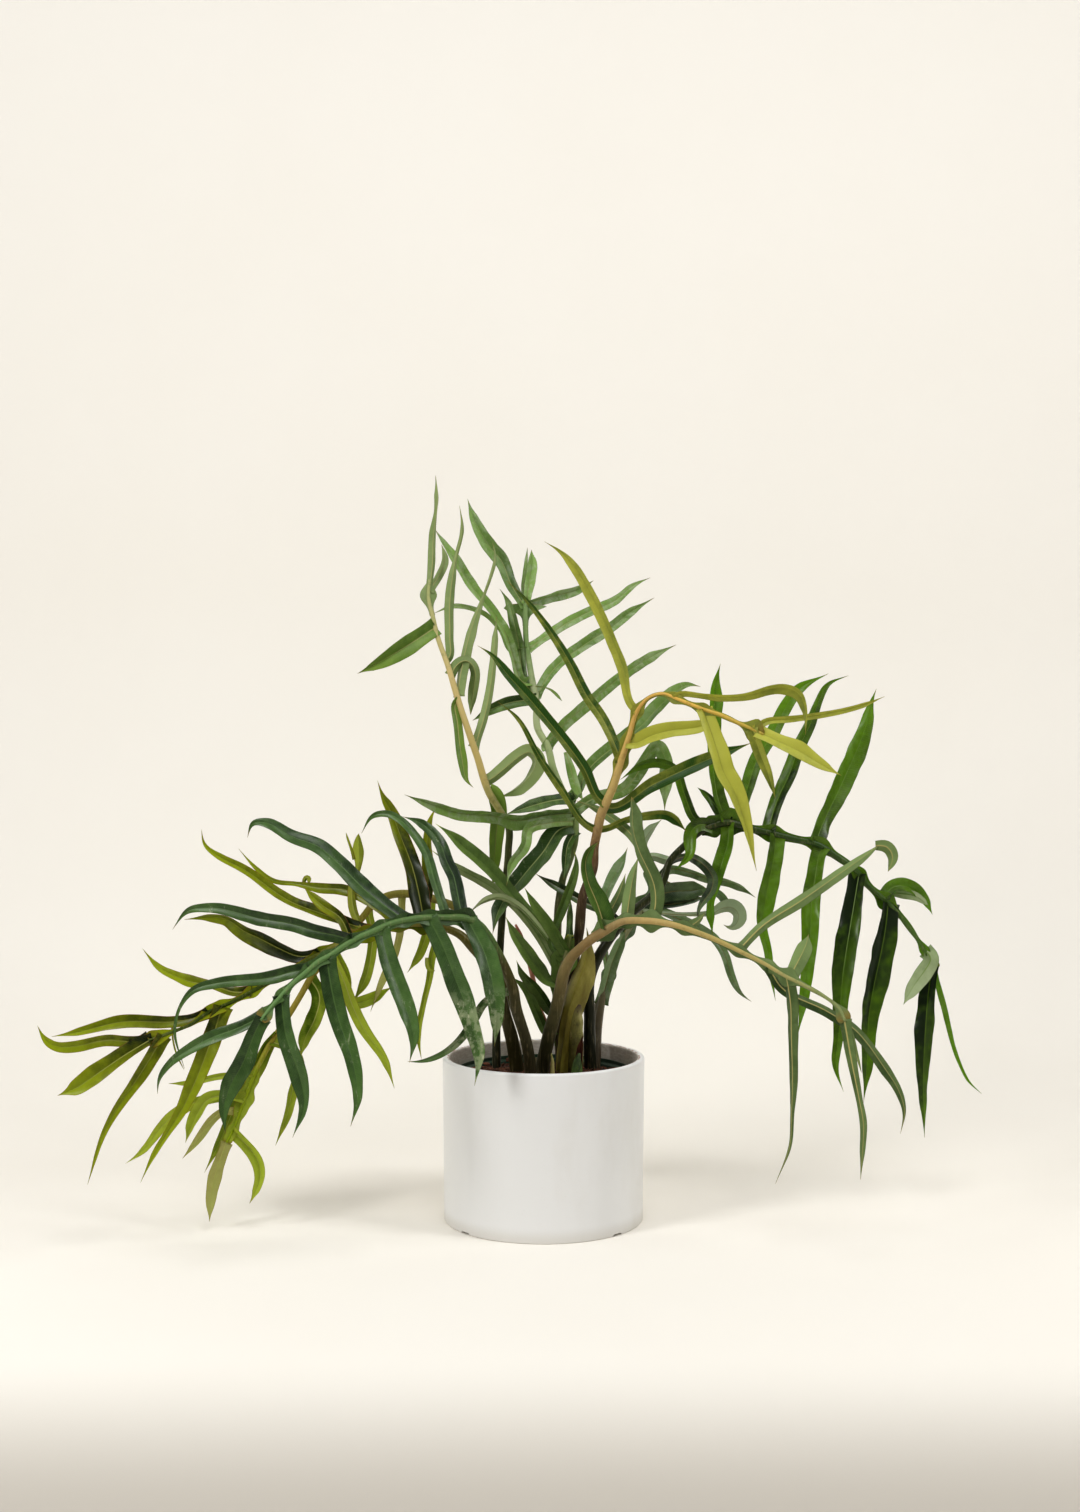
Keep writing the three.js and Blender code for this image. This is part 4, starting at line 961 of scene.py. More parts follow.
def leaf(name, number, look, slot, stalk, lobes, upper_front=True, turned_over=(), wing=1.0, fold=LEAF_FOLD,
         roll=LEAF_ROLL, wave=0.09, ragged=0.028, tones=(), flaps=(), torn=0.1):
    """Petiole, midrib, web and lobes of one leaf, as one piece in the place of its plain node. Each lobe
    leans, twists and folds by its own amount, and flaps are torn or curled bits beside the lobes."""
    shells = Shells()
    bases = [nearest_on(stalk, *outline[0][:2]) for _, outline in lobes]

    def gap(k):
        """How far a point of the stalk is from the nearest lobe."""
        return min((Vector(stalk[k][:2]) - base.to_2d()).length for base in bases)

    first = min(range(len(stalk)), key=gap)
    while first > 0 and gap(first - 1) < FIRST_LOBE_REACH:
        first -= 1
    thinned = [(*p[:3], p[3] * (RIB_SHARE if k > first else 1)) for k, p in enumerate(stalk)]
    shells.stalk(thinned, lumps=0.07, grain=22.0, seed=number)
    joints = [spot(*base) for base in bases]
    if wing:
        web_path = [(*p[:3], p[3] * 0.9 + 0.6) for p in stalk[max(first - 1, 0):]]
        strip(shells, web_path, roll=6, fold=8, curl=0, wave=torn * 1.5, rib=0.2, upper_front=upper_front,
              seed=number * SEEDS_PER_LEAF, joints=joints, web=WEB * wing, ragged=torn)
    for i, ((reach, outline), base, tone) in enumerate(zip(lobes, bases, tones)):
        across, up, width = outline[0]
        drawn = [(base.x, base.y, width), *outline]
        if (Vector((across, up)) - base.to_2d()).length < LEAST_STEP:
            drawn.pop(1)
        run = [0]
        for a, b in zip(drawn, drawn[1:]):
            run.append(run[-1] + math.hypot(b[0] - a[0], b[1] - a[1]))
        share = [r / run[-1] for r in run]
        depths = [base.z + reach * ((1 + LOBE_DROOP) * t - LOBE_DROOP * t * t) for t in share]
        path = [(p[0], p[1], depth, p[2]) for p, depth in zip(drawn, depths)]
        lean, twist, bend = (math.sin(rate * i + shift * number) for rate, shift in LOBE_VARIETY)
        strip(shells, path, roll=roll * lean, twist=LEAF_TWIST * twist,
              fold=fold * (1 + FOLD_VARIETY * bend), curl=LEAF_CURL, wave=wave,
              upper_front=upper_front != (i in turned_over), tone=tone,
              seed=number * SEEDS_PER_LEAF + i + 1, ragged=ragged, sway=LOBE_SWAY, flare=BASE_FLARE)
    for i, (way, outline) in enumerate(flaps):
        seed = number * SEEDS_PER_LEAF + FIRST_FLAP_SEED + i
        strip(shells, outline, roll=12, fold=14, curl=LEAF_CURL, wave=0.14, upper_front=way, tone=0.8,
              seed=seed, ragged=0.04)
    return shells.piece(name + "_blade", look, name, slot)


def leaf_look(name, upper, upper_pale, under, under_pale, rib, edge, stalk, gloss=0.3, glow=0.28,
              glow_colour="#8fb53a", painted_sheen=0.0, painted_sheen_colour="#a3b08c", scuffs=0.0, edge_share=0.6,
              crinkle=0.35, tip="#9a7b3a", rib_share=0.8, coat=0.0, tone_share=0.42, climb_share=0.25,
              shine=0.5, sheen=0.0, worn=None):
    """Leathery blade: darker glossy upper side, paler dull under side, pale midrib and side veins, darker
    edge. Painted light and shade on the two halves of each folded lobe, painted highlight streaks and
    painted silvery sheen patches are mixed into the colour. Stalk gives the petiole's colours from the mix
    to its end, and worn is (from x, below z) of the lobes that are rubbed pale."""
    look = Look(name)
    place = look.place()
    across, run, half = look.parts(look.attribute("blade"))
    side, tone, kind = look.parts(look.attribute("growth"))
    blade = kind.step(-0.16, -0.06)
    share = kind.clamp()
    off = abs(across)
    cloud = look.noise(place, 26.0, 4.0, 0.6)
    mottle = look.noise(place, 130.0, 4.0, 0.62)
    fine = look.noise(place, 1100.0, 2.0, 0.6)
    drift = look.noise(place, 210.0, 2.0)
    rows = (run * 420.0 - off * 330.0 + drift).math("PINGPONG", 0.5)
    vein = rows.step(0.40, 0.5) * (off / half).step(0.97, 0.8)
    # Painted highlight and shade: lighter and darker streaks stretched along the lobes stand in for soft-box
    # highlights.
    painted_highlight_streaks = look.noise(look.stretched(place, (1.0, 1.0, 0.5)), 52.0, 3.0, 0.6, 0.3).step(0.3, 0.7)
    light = cloud.step(0.36, 0.66) * 0.24 + tone * tone_share + 0.26
    light = (light + mottle.step(0.42, 0.66) * 0.14 + fine * 0.1).clamp()
    # Painted light and shade: one half of each folded lobe is painted lighter and the other darker, as a fold
    # lit from one side looks.
    painted_half_shade = (across / half).step(-0.1, 0.1) - 0.5
    light = (light + (share - 0.4) * climb_share + painted_half_shade * 0.2 + (painted_highlight_streaks - 0.5) * 0.16).clamp()
    top = look.mix(light, paint(upper), paint(upper_pale))
    low = look.mix(light, paint(under), paint(under_pale))
    colour = look.mix(side.step(0.4, 0.6), low, top)
    colour = look.mix(vein * VEIN_SHARE, colour, paint(under_pale))
    # Painted sheen: pale silvery patches on the upper side stand in for the soft highlights of the gloss.
    if painted_sheen:
        sheen_patches = look.noise(place, 75.0, 5.0, 0.68, 0.5)
        painted_sheen_mask = sheen_patches.step(0.44, 0.62) * side.step(0.4, 0.6) * tone.step(-0.4, 0.6) * painted_sheen
        colour = look.mix(painted_sheen_mask, colour, paint(painted_sheen_colour))
    midrib = (off - (0.22 * MM + (1 - share) * 0.5 * MM)).step(0.22 * MM, -0.12 * MM)
    colour = look.mix(midrib * rib_share * (0.55 + share.step(1.0, 0.2) * 0.45), colour, paint(rib))
    margin = (half - off).step(0.75 * MM, 0.15 * MM) * mottle.step(0.3, 0.55)
    colour = look.mix(margin * edge_share, colour, paint(edge))
    ends = share.step(0.95, 0.995) * mottle.step(0.25, 0.5)
    colour = look.mix(ends * 0.8, colour, paint(tip))
    scratch = look.noise(look.stretched(place, (1.0, 1.0, 0.35)), 240.0, 4.0, 0.75, 0.7).step(0.57, 0.66)
    mark = scratch * cloud.step(0.44, 0.58) * share.step(0.15, 0.5)
    if worn:
        aside, _, up = look.parts(place)
        rubbed = aside.step(worn[0], worn[0] + 0.02) * up.step(worn[1], worn[1] - 0.03)
        mark = mark * 0.5 + (scratch * 0.5 + mottle.step(0.44, 0.58) * 0.5) * rubbed
    colour = look.mix(mark * scuffs, colour, paint(SCUFF))
    stops = [(at, paint(code)) for at, code in stalk]
    climb = (kind - STALK_MARK + (mottle - 0.5) * 0.12).clamp()
    skin = look.node("ShaderNodeValToRGB", {"stops": stops}, {0: climb})
    streak = look.noise(look.stretched(place, (1, 1, 0.12)), 420.0, 4.0, 0.6)
    skin = look.mix(streak.step(0.5, 0.72) * 0.35, skin, look.mix(0.5, skin, paint(STALK_STREAK)))
    skin = look.mix(mottle.step(0.56, 0.68) * 0.3, skin, look.mix(0.6, skin, paint(STALK_SPECK)))
    colour = look.mix(blade, skin, colour)
    roughness = gloss + mottle * 0.14 + (1 - side) * 0.12 + mark * 0.25 * scuffs + (1 - blade) * 0.08
    height = vein * 0.3 * blade + mottle * crinkle * 2.2 + fine * 0.12 + streak * (1 - blade) * 0.6
    values = {"Base Color": colour, "Roughness": roughness, "Normal": look.bump(height, 0.34 * MM, 0.75),
              "Specular IOR Level": shine}
    if sheen:
        values.update({"Sheen Weight": sheen, "Sheen Roughness": 0.35})
    if coat:
        values.update({"Coat Weight": coat, "Coat Roughness": 0.22})
    return look.finish(values, (blade * (light * 0.8 + 0.3) * glow, paint(glow_colour)))


# Back leaf: the tallest, upright behind the others with its upper side to the front. It is
# crinkled and torn near the midrib, with painted silvery sheen over dark green.
stalk = [
    (18, 117, 54, 10), (17, 151, 54, 10), (15, 217, 62, 9), (14, 277, 70, 8), (16, 319, 76, 8),
    (20, 340, 80, 7), (26, 355, 82, 6.5), (32, 377, 86, 6), (32, 392, 90, 7), (32, 402, 92, 7),
    (17, 429, 100, 8), (10, 447, 106, 7.5), (4, 470, 112, 7), (-6, 489, 118, 7), (-7, 515, 126, 7),
    (-12, 540, 134, 6.5), (-15, 559, 141, 6), (-17, 572, 145, 5.5), (-18, 591, 152, 5.5),
    (-18, 613, 160, 5),
]
lobes = [
    (30, [(-18, 611, 5.6), (-14, 636, 10), (-12, 655, 9), (-12, 667, 1)]),
    (44, [(-18, 617, 3.2), (-20, 626, 4), (-18, 647, 4), (-16, 669, 1)]),
    (30, [(-17, 613, 6.4), (13, 621, 9.5), (35, 627, 8), (50, 636, 1)]),
    (50, [(-16, 567, 7.2), (28, 596, 10), (46, 605, 9.5), (72, 616, 8), (91, 632, 5.5), (107, 639, 1)]),
    (60, [(-8, 517, 7.2), (-1, 531, 9), (11, 548, 10), (46, 575, 11), (69, 590, 9.5), (85, 603, 9),
          (111, 619, 1)]),
    (50, [(3, 467, 8), (13, 484, 10), (40, 509, 11.5), (112, 562, 9), (133, 572, 1)]),
    (24, [(27, 417, 8.8), (45, 447, 11), (97, 490, 13), (122, 516, 12), (146, 532, 8), (157, 530, 1)]),
    (-20, [(31, 405, 8.8), (47, 417, 11), (79, 426, 12), (117, 469, 13), (123, 455, 14), (122, 427, 13),
     (121, 405, 1)]),
    (30, [(-18, 609, 6.4), (-33, 633, 11), (-42, 656, 13.5), (-54, 670, 14), (-65, 688, 11), (-72, 704, 7),
     (-76, 718, 1)]),
    (30, [(-10, 520, 6.4), (-16, 529, 8), (-25, 573, 10), (-30, 596, 9), (-35, 615, 6), (-44, 628, 1)]),
    (20, [(-18, 533, 7.2), (-31, 562, 9), (-38, 583, 8.5), (-47, 599, 8.5), (-74, 633, 9), (-88, 656, 8.5),
     (-103, 678, 6), (-109, 688, 1)]),
    (6, [(-32, 565, 4), (-42, 587, 5), (-49, 595, 5), (-60, 604, 4.5), (-74, 609, 4.5), (-89, 611, 4.5),
     (-110, 603, 1)]),
    (-20, [(-8, 517, 8.8), (-23, 516, 11), (-38, 513, 12.5), (-53, 507, 10), (-71, 496, 1)]),
    (-60, [(27, 417, 8.8), (9, 416, 11), (-11, 411, 12), (-38, 402, 1)]),
    (-110, [(32, 404, 10.4), (2, 401, 13), (-29, 396, 14), (-46, 400, 11), (-82, 403, 11), (-123, 416, 8),
     (-139, 422, 1)]),
    (-60, [(32, 391, 12.8), (17, 388, 16), (0, 365, 18), (-21, 340, 17), (-46, 304, 12), (-51, 282, 1)]),
    (-30, [(31, 385, 7.2), (24, 372, 9), (22, 355, 9), (20, 337, 1)]),
    (-86, [(29, 395, 7.2), (2, 393, 9), (-16, 387, 11), (-18, 372, 10), (-33, 351, 8), (-37, 331, 1)]),
]
leaf("leaf_back_center", 2, leaf_look(
    "back_leaf", upper="#2c4812", upper_pale="#97b862", under="#5b7540", under_pale="#b4c494",
    rib="#a4ac70", edge="#4a3a24",
    stalk=[(0.0, "#2a2810"), (0.2, "#48442a"), (0.4, "#4c5228"), (0.55, "#7c9055"), (0.72, "#a0ac7c"),
           (0.8, "#a4ac84"), (0.9, "#6f8a4c"), (1.0, "#7a9358")],
    painted_sheen=0.5, painted_sheen_colour="#c2ceac", scuffs=0.5, crinkle=0.7, glow=0.24, glow_colour="#7fae4a",
    sheen=0.2, tone_share=0.5, shine=0.4),
    "leaf_green", stalk, lobes, wing=1.5, wave=0.15, ragged=0.06, torn=0.3, roll=28,
    tones=(1, 0.6, 0.5, 0.8, 0.3, 0.6, 0, 0.3, 0, -0.1, 0.8, 1, -0.4, -0.6, 0.5, -1, -1, 0.7),
    flaps=[(True, [(22.5, 464.6, 104, 4), (27.5, 446.6, 100, 9), (33.5, 426.6, 96, 9),
                   (39.5, 416.6, 92, 3)]),
           (True, [(-8, 530, 111, 1), (1, 529.6, 112, 0.8), (8, 527, 112, 2), (14, 521, 112, 3),
                   (18.5, 515.6, 112, 1)])])

# Right rear leaf: small and half hidden, its lobes twisted, glossy dark green with black-green
# curled tips.
stalk = [
    (49, 116, 40, 12), (51, 151, 40, 12), (54, 197, 51, 11), (60, 227, 58, 9), (69, 252, 67, 8),
    (79, 277, 76, 7), (89, 293, 85, 6.5), (97, 305, 92, 6), (107, 322, 101, 5.5), (115, 339, 110, 5),
]
lobes = [
    (-6, [(56, 213, 9.6), (63, 233, 12), (69, 255, 12), (77, 274, 10), (82, 287, 1)]),
    (10, [(97, 303, 11.2), (112, 320, 14), (127, 325, 17), (147, 326, 17), (163, 328, 12)]),
    (0, [(102, 312, 6.4), (125, 312, 8), (160, 319, 6)]),
    (-10, [(112, 332, 6.4), (122, 347, 8), (147, 344, 7), (165, 338, 7), (180, 336, 6.5), (197, 330, 6),
     (212, 319, 1)]),
    (20, [(65, 242, 4.8), (60, 277, 6), (59, 312, 9), (69, 337, 10), (79, 355, 10), (84, 369, 1)]),
    (34, [(114, 337, 4.8), (106, 349, 6), (104, 360, 7), (113, 360, 8), (124, 356, 9), (137, 360, 1)]),
    (40, [(113, 335, 5.6), (103, 357, 7), (100, 375, 8), (107, 386, 8.5), (118, 397, 1)]),
    (-14, [(113, 335, 4.8), (147, 322, 6), (173, 324, 7), (188, 303, 8)]),
    (-176, [(115, 339, 4), (129, 356, 5), (145, 360, 7), (156, 355, 9), (165, 347, 10), (170, 337, 10),
     (168, 327, 9.5), (157, 311, 6.5), (154, 303, 5), (156, 294, 1)]),
    (-34, [(85, 287, 6.4), (62, 305, 8), (42, 314, 9), (16, 329, 9), (3, 336, 6), (-8, 343, 1)]),
    (-20, [(102, 312, 7.2), (147, 292, 9), (172, 277, 8.5), (180, 265, 8), (188, 240, 7), (197, 223, 5),
     (208, 215, 1)]),
    (-36, [(97, 305, 3.2), (153, 302, 4), (169, 303, 6), (179, 309, 11), (189, 310, 14), (196, 303, 13),
     (194, 293, 12), (186, 288, 8), (180, 292, 1)]),
]
leaf("leaf_right_back", 10, leaf_look(
    "right_rear_leaf", upper="#1b2f10", upper_pale="#8aa46e", under="#4f6640", under_pale="#aebc98",
    rib="#86784a", edge="#2d2a1c",
    stalk=[(0.0, "#2b241a"), (0.35, "#5a5038"), (0.55, "#7d7a55"), (0.8, "#7a7a55"), (1.0, "#5f6a40")],
    painted_sheen=0.4, painted_sheen_colour="#b4c0a2", glow=0.22, glow_colour="#86b440", gloss=0.28, shine=0.4,
    coat=0.25),
    "leaf_green", stalk, lobes, turned_over=(5, 6, 11), wave=0.14, roll=30, torn=0.2,
    tones=(0.9, -0.6, -1, 0.6, 0.6, 0.2, 0.9, -0.2, -1, -0.8, 0.2, 1))

# Upper left leaf: tall and slender, seen from its edge and from behind, so most of its lobes show
# their dull under sides and the midrib is tan yellow.
stalk = [
    (-46, 114, 36, 9), (-47, 151, 36, 9), (-47, 187, 39, 8), (-45, 237, 44, 7.5), (-40, 317, 56, 7),
    (-35, 367, 62, 7), (-35, 390, 62, 7), (-43, 405, 62, 7), (-53, 421, 62, 7.5), (-67, 462, 67, 7),
    (-77, 491, 70, 6.5), (-90, 532, 78, 6), (-95, 549, 82, 5.5), (-106, 580, 91, 5), (-111, 601, 98, 4.5),
    (-115, 619, 103, 4), (-114, 637, 108, 3.5),
]
lobes = [
    (24, [(-115, 619, 4.8), (-111, 655, 7), (-110, 682, 6.5), (-107, 705, 2.5), (-106, 721, 4.5),
          (-108, 741, 1)]),
    (30, [(-114, 625, 5.6), (-104, 642, 7), (-98, 657, 7), (-102, 672, 1)]),
    (-30, [(-109, 589, 13.6), (-138, 570, 19), (-158, 558, 15), (-186, 543, 1)]),
    (40, [(-96, 557, 6.4), (-94, 579, 8), (-94, 612, 9), (-91, 639, 7.5), (-88, 657, 3.5), (-81, 689, 3.5),
     (-84, 711, 1)]),
    (45, [(-86, 521, 7.6), (-80, 557, 9.5), (-73, 585, 9), (-59, 623, 2.5), (-52, 643, 3), (-48, 661, 4),
     (-51, 674, 1)]),
    (50, [(-69, 469, 6.8), (-60, 497, 8.5), (-48, 580, 6), (-47, 600, 1)]),
    (20, [(-93, 541, 7.2), (-86, 553, 9), (-77, 557, 9), (-69, 549, 9), (-70, 527, 10), (-73, 502, 4)]),
    (-20, [(-87, 515, 6.4), (-86, 495, 8), (-81, 454, 9), (-76, 434, 4), (-70, 429, 1)]),
    (24, [(-55, 436, 8.8), (-43, 445, 11), (-11, 464, 12), (-6, 455, 13), (-13, 441, 12), (-28, 427, 10),
     (-42, 420, 6)]),
    (24, [(-51, 425, 12), (-47, 417, 15), (-48, 377, 13), (-49, 355, 10), (-51, 328, 1)]),
]
leaf("leaf_upper_left", 1, leaf_look(
    "upper_left_leaf", upper="#4c6e22", upper_pale="#9bb556", under="#5c7638", under_pale="#aab880",
    rib="#b9b578", edge="#6a5a32",
    stalk=[(0.0, "#20200e"), (0.3, "#363c18"), (0.5, "#424a1e"), (0.56, "#a39a5e"), (0.62, "#bda968"),
           (0.8, "#c8b47a"), (1.0, "#a0a86e")],
    glow=0.3, glow_colour="#9cc048", sheen=0.25, shine=0.35),
    "leaf_green", stalk, lobes, upper_front=False, turned_over=(2, 7, 9), roll=28,
    tones=(0.2, 0.6, -0.1, 0.4, 0.7, 0.6, 0.2, -0.1, 0.9, 0.7))

# Centre leaf: the youngest full one. Its stalk is purple brown below and tan above, cracked where
# it bends over, and its outer lobes are yellow green.
stalk = [
    (23, 117, 26, 10), (22, 151, 26, 10), (26, 207, 19, 10), (31, 257, 14, 10), (36, 287, 10, 10),
    (39, 319, 6, 9.5), (50, 350, 2, 9), (51, 371, -1, 9), (54, 386, -4, 9.5), (58, 403, -8, 9.5),
    (62, 412, -10, 9), (68, 426, -14, 8.5), (77, 454, -22, 7.5), (86, 482, -29, 6.5), (92, 502, -34, 5.5),
    (97, 511, -39, 4.5), (105, 519, -44, 3.6), (120, 523, -52, 3.6), (133, 518, -57, 4),
    (148, 512, -63, 4.5), (164, 506, -70, 4.5), (179, 501, -75, 4.5), (194, 494, -81, 4.5),
    (210, 487, -86, 4), (220, 482, -90, 3.5),
]
lobes = [
    (30, [(93, 507, 5.6), (79, 550, 9.5), (70, 573, 9.5), (45, 626, 10.5), (33, 647, 9), (17, 665, 5),
          (1, 675, 1)]),
    (36, [(76, 455, 7.2), (70, 475, 9), (59, 498, 10), (43, 521, 10), (27, 553, 9), (-3, 599, 5.5),
          (-19, 619, 4), (-37, 636, 1)]),
    (20, [(60, 414, 8), (40, 449, 10), (-1, 502, 10.5), (-19, 523, 10.5), (-38, 544, 8.5), (-52, 562, 6),
     (-66, 571, 1)]),
    (10, [(52, 388, 5.6), (17, 430, 7), (-3, 459, 6), (-29, 502, 3.5), (-46, 515, 1)]),
    (10, [(57, 388, 4.8), (82, 397, 6), (107, 402, 8.5), (125, 402, 9), (134, 395, 8.5), (143, 385, 1)]),
    (40, [(63, 409, 8), (109, 432, 13.5), (157, 454, 13.5), (185, 465, 9), (209, 474, 1)]),
    (-10, [(89, 473, 12), (107, 481, 15), (121, 485, 15.5), (157, 490, 12.5), (174, 495, 1)]),
    (-30, [(132, 520, 4), (157, 521, 5), (174, 519, 6), (199, 520, 7), (242, 529, 10), (255, 524, 10),
     (262, 507, 6), (262, 482, 1)]),
    (-30, [(160, 508, 12), (174, 465, 18), (180, 444, 19), (191, 424, 16), (197, 407, 13), (213, 346, 1)]),
    (-6, [(208, 487, 8.8), (217, 462, 11), (225, 442, 8), (232, 418, 1)]),
    (20, [(211, 487, 4.8), (222, 495, 6), (242, 497, 6.5), (323, 513, 4.5), (341, 520, 1)]),
    (-24, [(214, 486, 10.4), (237, 474, 13), (254, 466, 17), (277, 452, 10), (298, 441, 1)]),
]
leaf("leaf_center", 3, leaf_look(
    "centre_leaf", upper="#234f0c", upper_pale="#dedb66", tone_share=0.6, under="#7a8c38",
    under_pale="#cfca72", rib="#b9b75c", edge="#9a8a44",
    stalk=[(0.0, "#2a2410"), (0.3, "#3c3018"), (0.42, "#553f2a"), (0.47, "#75593c"), (0.52, "#aa8e5e"),
           (0.6, "#ccb270"), (0.72, "#d9b264"), (0.84, "#e2b856"), (1.0, "#bca848")],
    glow=0.36, glow_colour="#bccb3c", gloss=0.34, rib_share=0.5, climb_share=-0.12, shine=0.35),
    "leaf_young", stalk, lobes, turned_over=(), tones=(0.3, -0.5, -0.9, -0.6, -0.5, -0.8, 0.9, 0.3, 0.9, 0,
                                                       0.6, 0.9))

# Inner leaf: small, low and upright among the stalks, dark green.
stalk = [
    (18, 116, 12, 9), (17, 150, 12, 9), (16, 171, 9, 8.5), (14, 197, 6, 8), (13, 217, 2, 7.5),
    (15, 237, -2, 7), (19, 252, -3, 6.5), (24, 267, -4, 5.5), (27, 282, -5, 4.5),
]
lobes = [
    (-18, [(23, 264, 8.8), (16, 276, 11), (4, 294, 11), (-8, 311, 8), (-19, 329, 1)]),
    (-28, [(15, 232, 7.2), (4, 235, 9), (-4, 245, 13), (-17, 264, 13), (-29, 282, 9), (-38, 300, 1)]),
    (-34, [(13, 207, 6.4), (9, 205, 8), (0, 217, 10.5), (-10, 231, 10), (-21, 243, 7), (-27, 256, 1)]),
    (-30, [(15, 189, 6.4), (5, 183, 8), (-4, 198, 9), (-12, 217, 9), (-21, 231, 6), (-33, 240, 1)]),
    (26, [(21, 259, 5.6), (7, 271, 7), (9, 282, 7), (19, 310, 9), (30, 340, 7.5), (33, 357, 5),
          (31, 365, 1)]),
    (30, [(26, 277, 5.6), (27, 302, 6), (27, 317, 1)]),
    (60, [(19, 252, 6.4), (2, 282, 8), (-23, 312, 10), (-62, 355, 13), (-77, 367, 13), (-92, 381, 9),
     (-108, 393, 1)]),
    (70, [(17, 242, 6.4), (-13, 292, 8), (-35, 317, 9), (-59, 334, 9), (-85, 348, 8), (-113, 367, 1)]),
    (34, [(19, 255, 4.8), (-3, 287, 6), (-27, 312, 6), (-45, 320, 6), (-59, 316, 5), (-75, 303, 1)]),
]
leaf("leaf_inner_front", 9, leaf_look(
    "inner_leaf", upper="#263f10", upper_pale="#8ba656", under="#65793e", under_pale="#b4be8e",
    rib="#6a8444", edge="#4a3c22",
    stalk=[(0.0, "#2a220e"), (0.5, "#4a4624"), (0.65, "#5a5830"), (0.8, "#8a8460"), (1.0, "#66783a")],
    glow=0.26, glow_colour="#93b748", tip="#c9c83a", shine=0.3),
    "leaf_green", stalk, lobes, turned_over=(7, 8), roll=28,
    tones=(0.3, 0.2, -0.6, -0.4, -0.1, -0.6, 0.1, 0, 1))

# Right leaf: wide and arching, deep glossy green, its lobes upright above the midrib and hanging
# below it, lit through from behind.
stalk = [
    (49, 115, 24, 12), (47, 149, 24, 12), (46, 197, 25, 12), (47, 241, 26, 11), (62, 272, 28, 10),
    (87, 302, 31, 9), (118, 332, 34, 8), (127, 356, 36, 7.5), (140, 370, 37, 7), (157, 385, 38, 7),
    (183, 394, 42, 8), (208, 388, 46, 8), (230, 383, 49, 7.5), (250, 378, 52, 7.5), (275, 372, 55, 7),
    (292, 361, 58, 7), (312, 347, 61, 6.5), (326, 330, 64, 6), (342, 316, 66, 6), (357, 301, 68, 5.5),
    (371, 282, 70, 5), (382, 265, 71, 4.5), (390, 248, 72, 4),
]
lobes = [
    (10, [(390, 250, 4), (399, 214, 5.5), (416, 153, 3), (425, 135, 2.5), (438, 123, 1)]),
    (50, [(183, 395, 9.6), (174, 420, 12), (170, 451, 12.5), (171, 515, 12.6), (172, 535, 8),
          (177, 553, 1)]),
    (64, [(194, 393, 9.6), (205, 431, 13.5), (213, 456, 13), (230, 484, 13), (241, 507, 12), (255, 527, 10),
     (285, 543, 1)]),
    (70, [(225, 386, 10.4), (233, 414, 13), (247, 445, 13.5), (255, 468, 13), (267, 493, 10), (275, 515, 7),
     (284, 532, 5), (305, 541, 1)]),
    (64, [(273, 375, 12), (300, 437, 18), (314, 468, 18), (323, 493, 12), (327, 512, 7), (333, 528, 1)]),
    (24, [(341, 318, 8.8), (348, 329, 11), (359, 331, 13), (370, 327, 12), (382, 315, 8), (389, 302, 1)]),
    (-16, [(381, 266, 10.4), (388, 260, 13), (380, 244, 16), (369, 229, 14), (360, 212, 1)]),
    (-20, [(169, 390, 9.6), (158, 393, 12), (148, 387, 13), (146, 374, 12), (147, 364, 9), (132, 347, 1)]),
    (30, [(169, 388, 7.2), (154, 395, 9), (141, 422, 9), (130, 449, 9), (118, 454, 9), (97, 451, 8),
          (77, 437, 1)]),
    (-20, [(185, 392, 10.4), (185, 376, 13), (178, 351, 14), (174, 335, 12), (168, 315, 6), (168, 300, 8),
     (169, 281, 1)]),
    (-30, [(232, 381, 11.2), (231, 366, 14), (224, 327, 17.5), (220, 305, 15), (218, 291, 9), (223, 272, 8),
     (227, 245, 6), (232, 216, 1)]),
    (-34, [(278, 367, 12.4), (272, 341, 15.5), (268, 313, 16.5), (267, 285, 16), (261, 223, 10),
           (254, 180, 1)]),
    (-36, [(315, 342, 13.6), (306, 285, 21), (300, 248, 20.5), (295, 178, 9), (292, 150, 7),
           (300, 125, 1)]),
    (-30, [(345, 314, 13.6), (342, 290, 17), (337, 262, 22), (331, 234, 20.5), (326, 206, 16),
           (323, 145, 9), (320, 114, 1)]),
    (-20, [(389, 251, 12), (385, 223, 15), (382, 187, 18), (380, 145, 11), (381, 79, 1)]),
    (26, [(185, 394, 8), (176, 405, 10), (168, 417, 7), (161, 424, 5), (154, 429, 1)]),
]
leaf("leaf_right", 4, leaf_look(
    "right_leaf", upper="#091a00", upper_pale="#7ba01e", under="#4a6c14", under_pale="#ccd6ac",
    rib="#7c983c", edge="#2a3312",
    stalk=[(0.0, "#1c1f10"), (0.3, "#25290f"), (0.5, "#333c18"), (0.7, "#34501c"), (1.0, "#55702e")],
    gloss=0.24, glow=0.36, glow_colour="#7fc022", crinkle=0.55, rib_share=0.6, climb_share=0.6, shine=0.22,
    coat=0.22, painted_sheen=0.22, painted_sheen_colour="#a3bd74"),
    "leaf_dark", stalk, lobes, turned_over=(6,), wave=0.12, ragged=0.035,
    tones=(1, 0.2, 0.2, -0.4, 0.1, 0.2, 0.5, 0, -0.1, 0.5, 0.3, 0.4, -0.5, -0.8, -0.8, -0.9),
    flaps=[(False, [(349, 324, 80, 6), (361, 322.5, 78, 10), (374, 320, 77, 8), (385, 311, 76, 3)])])

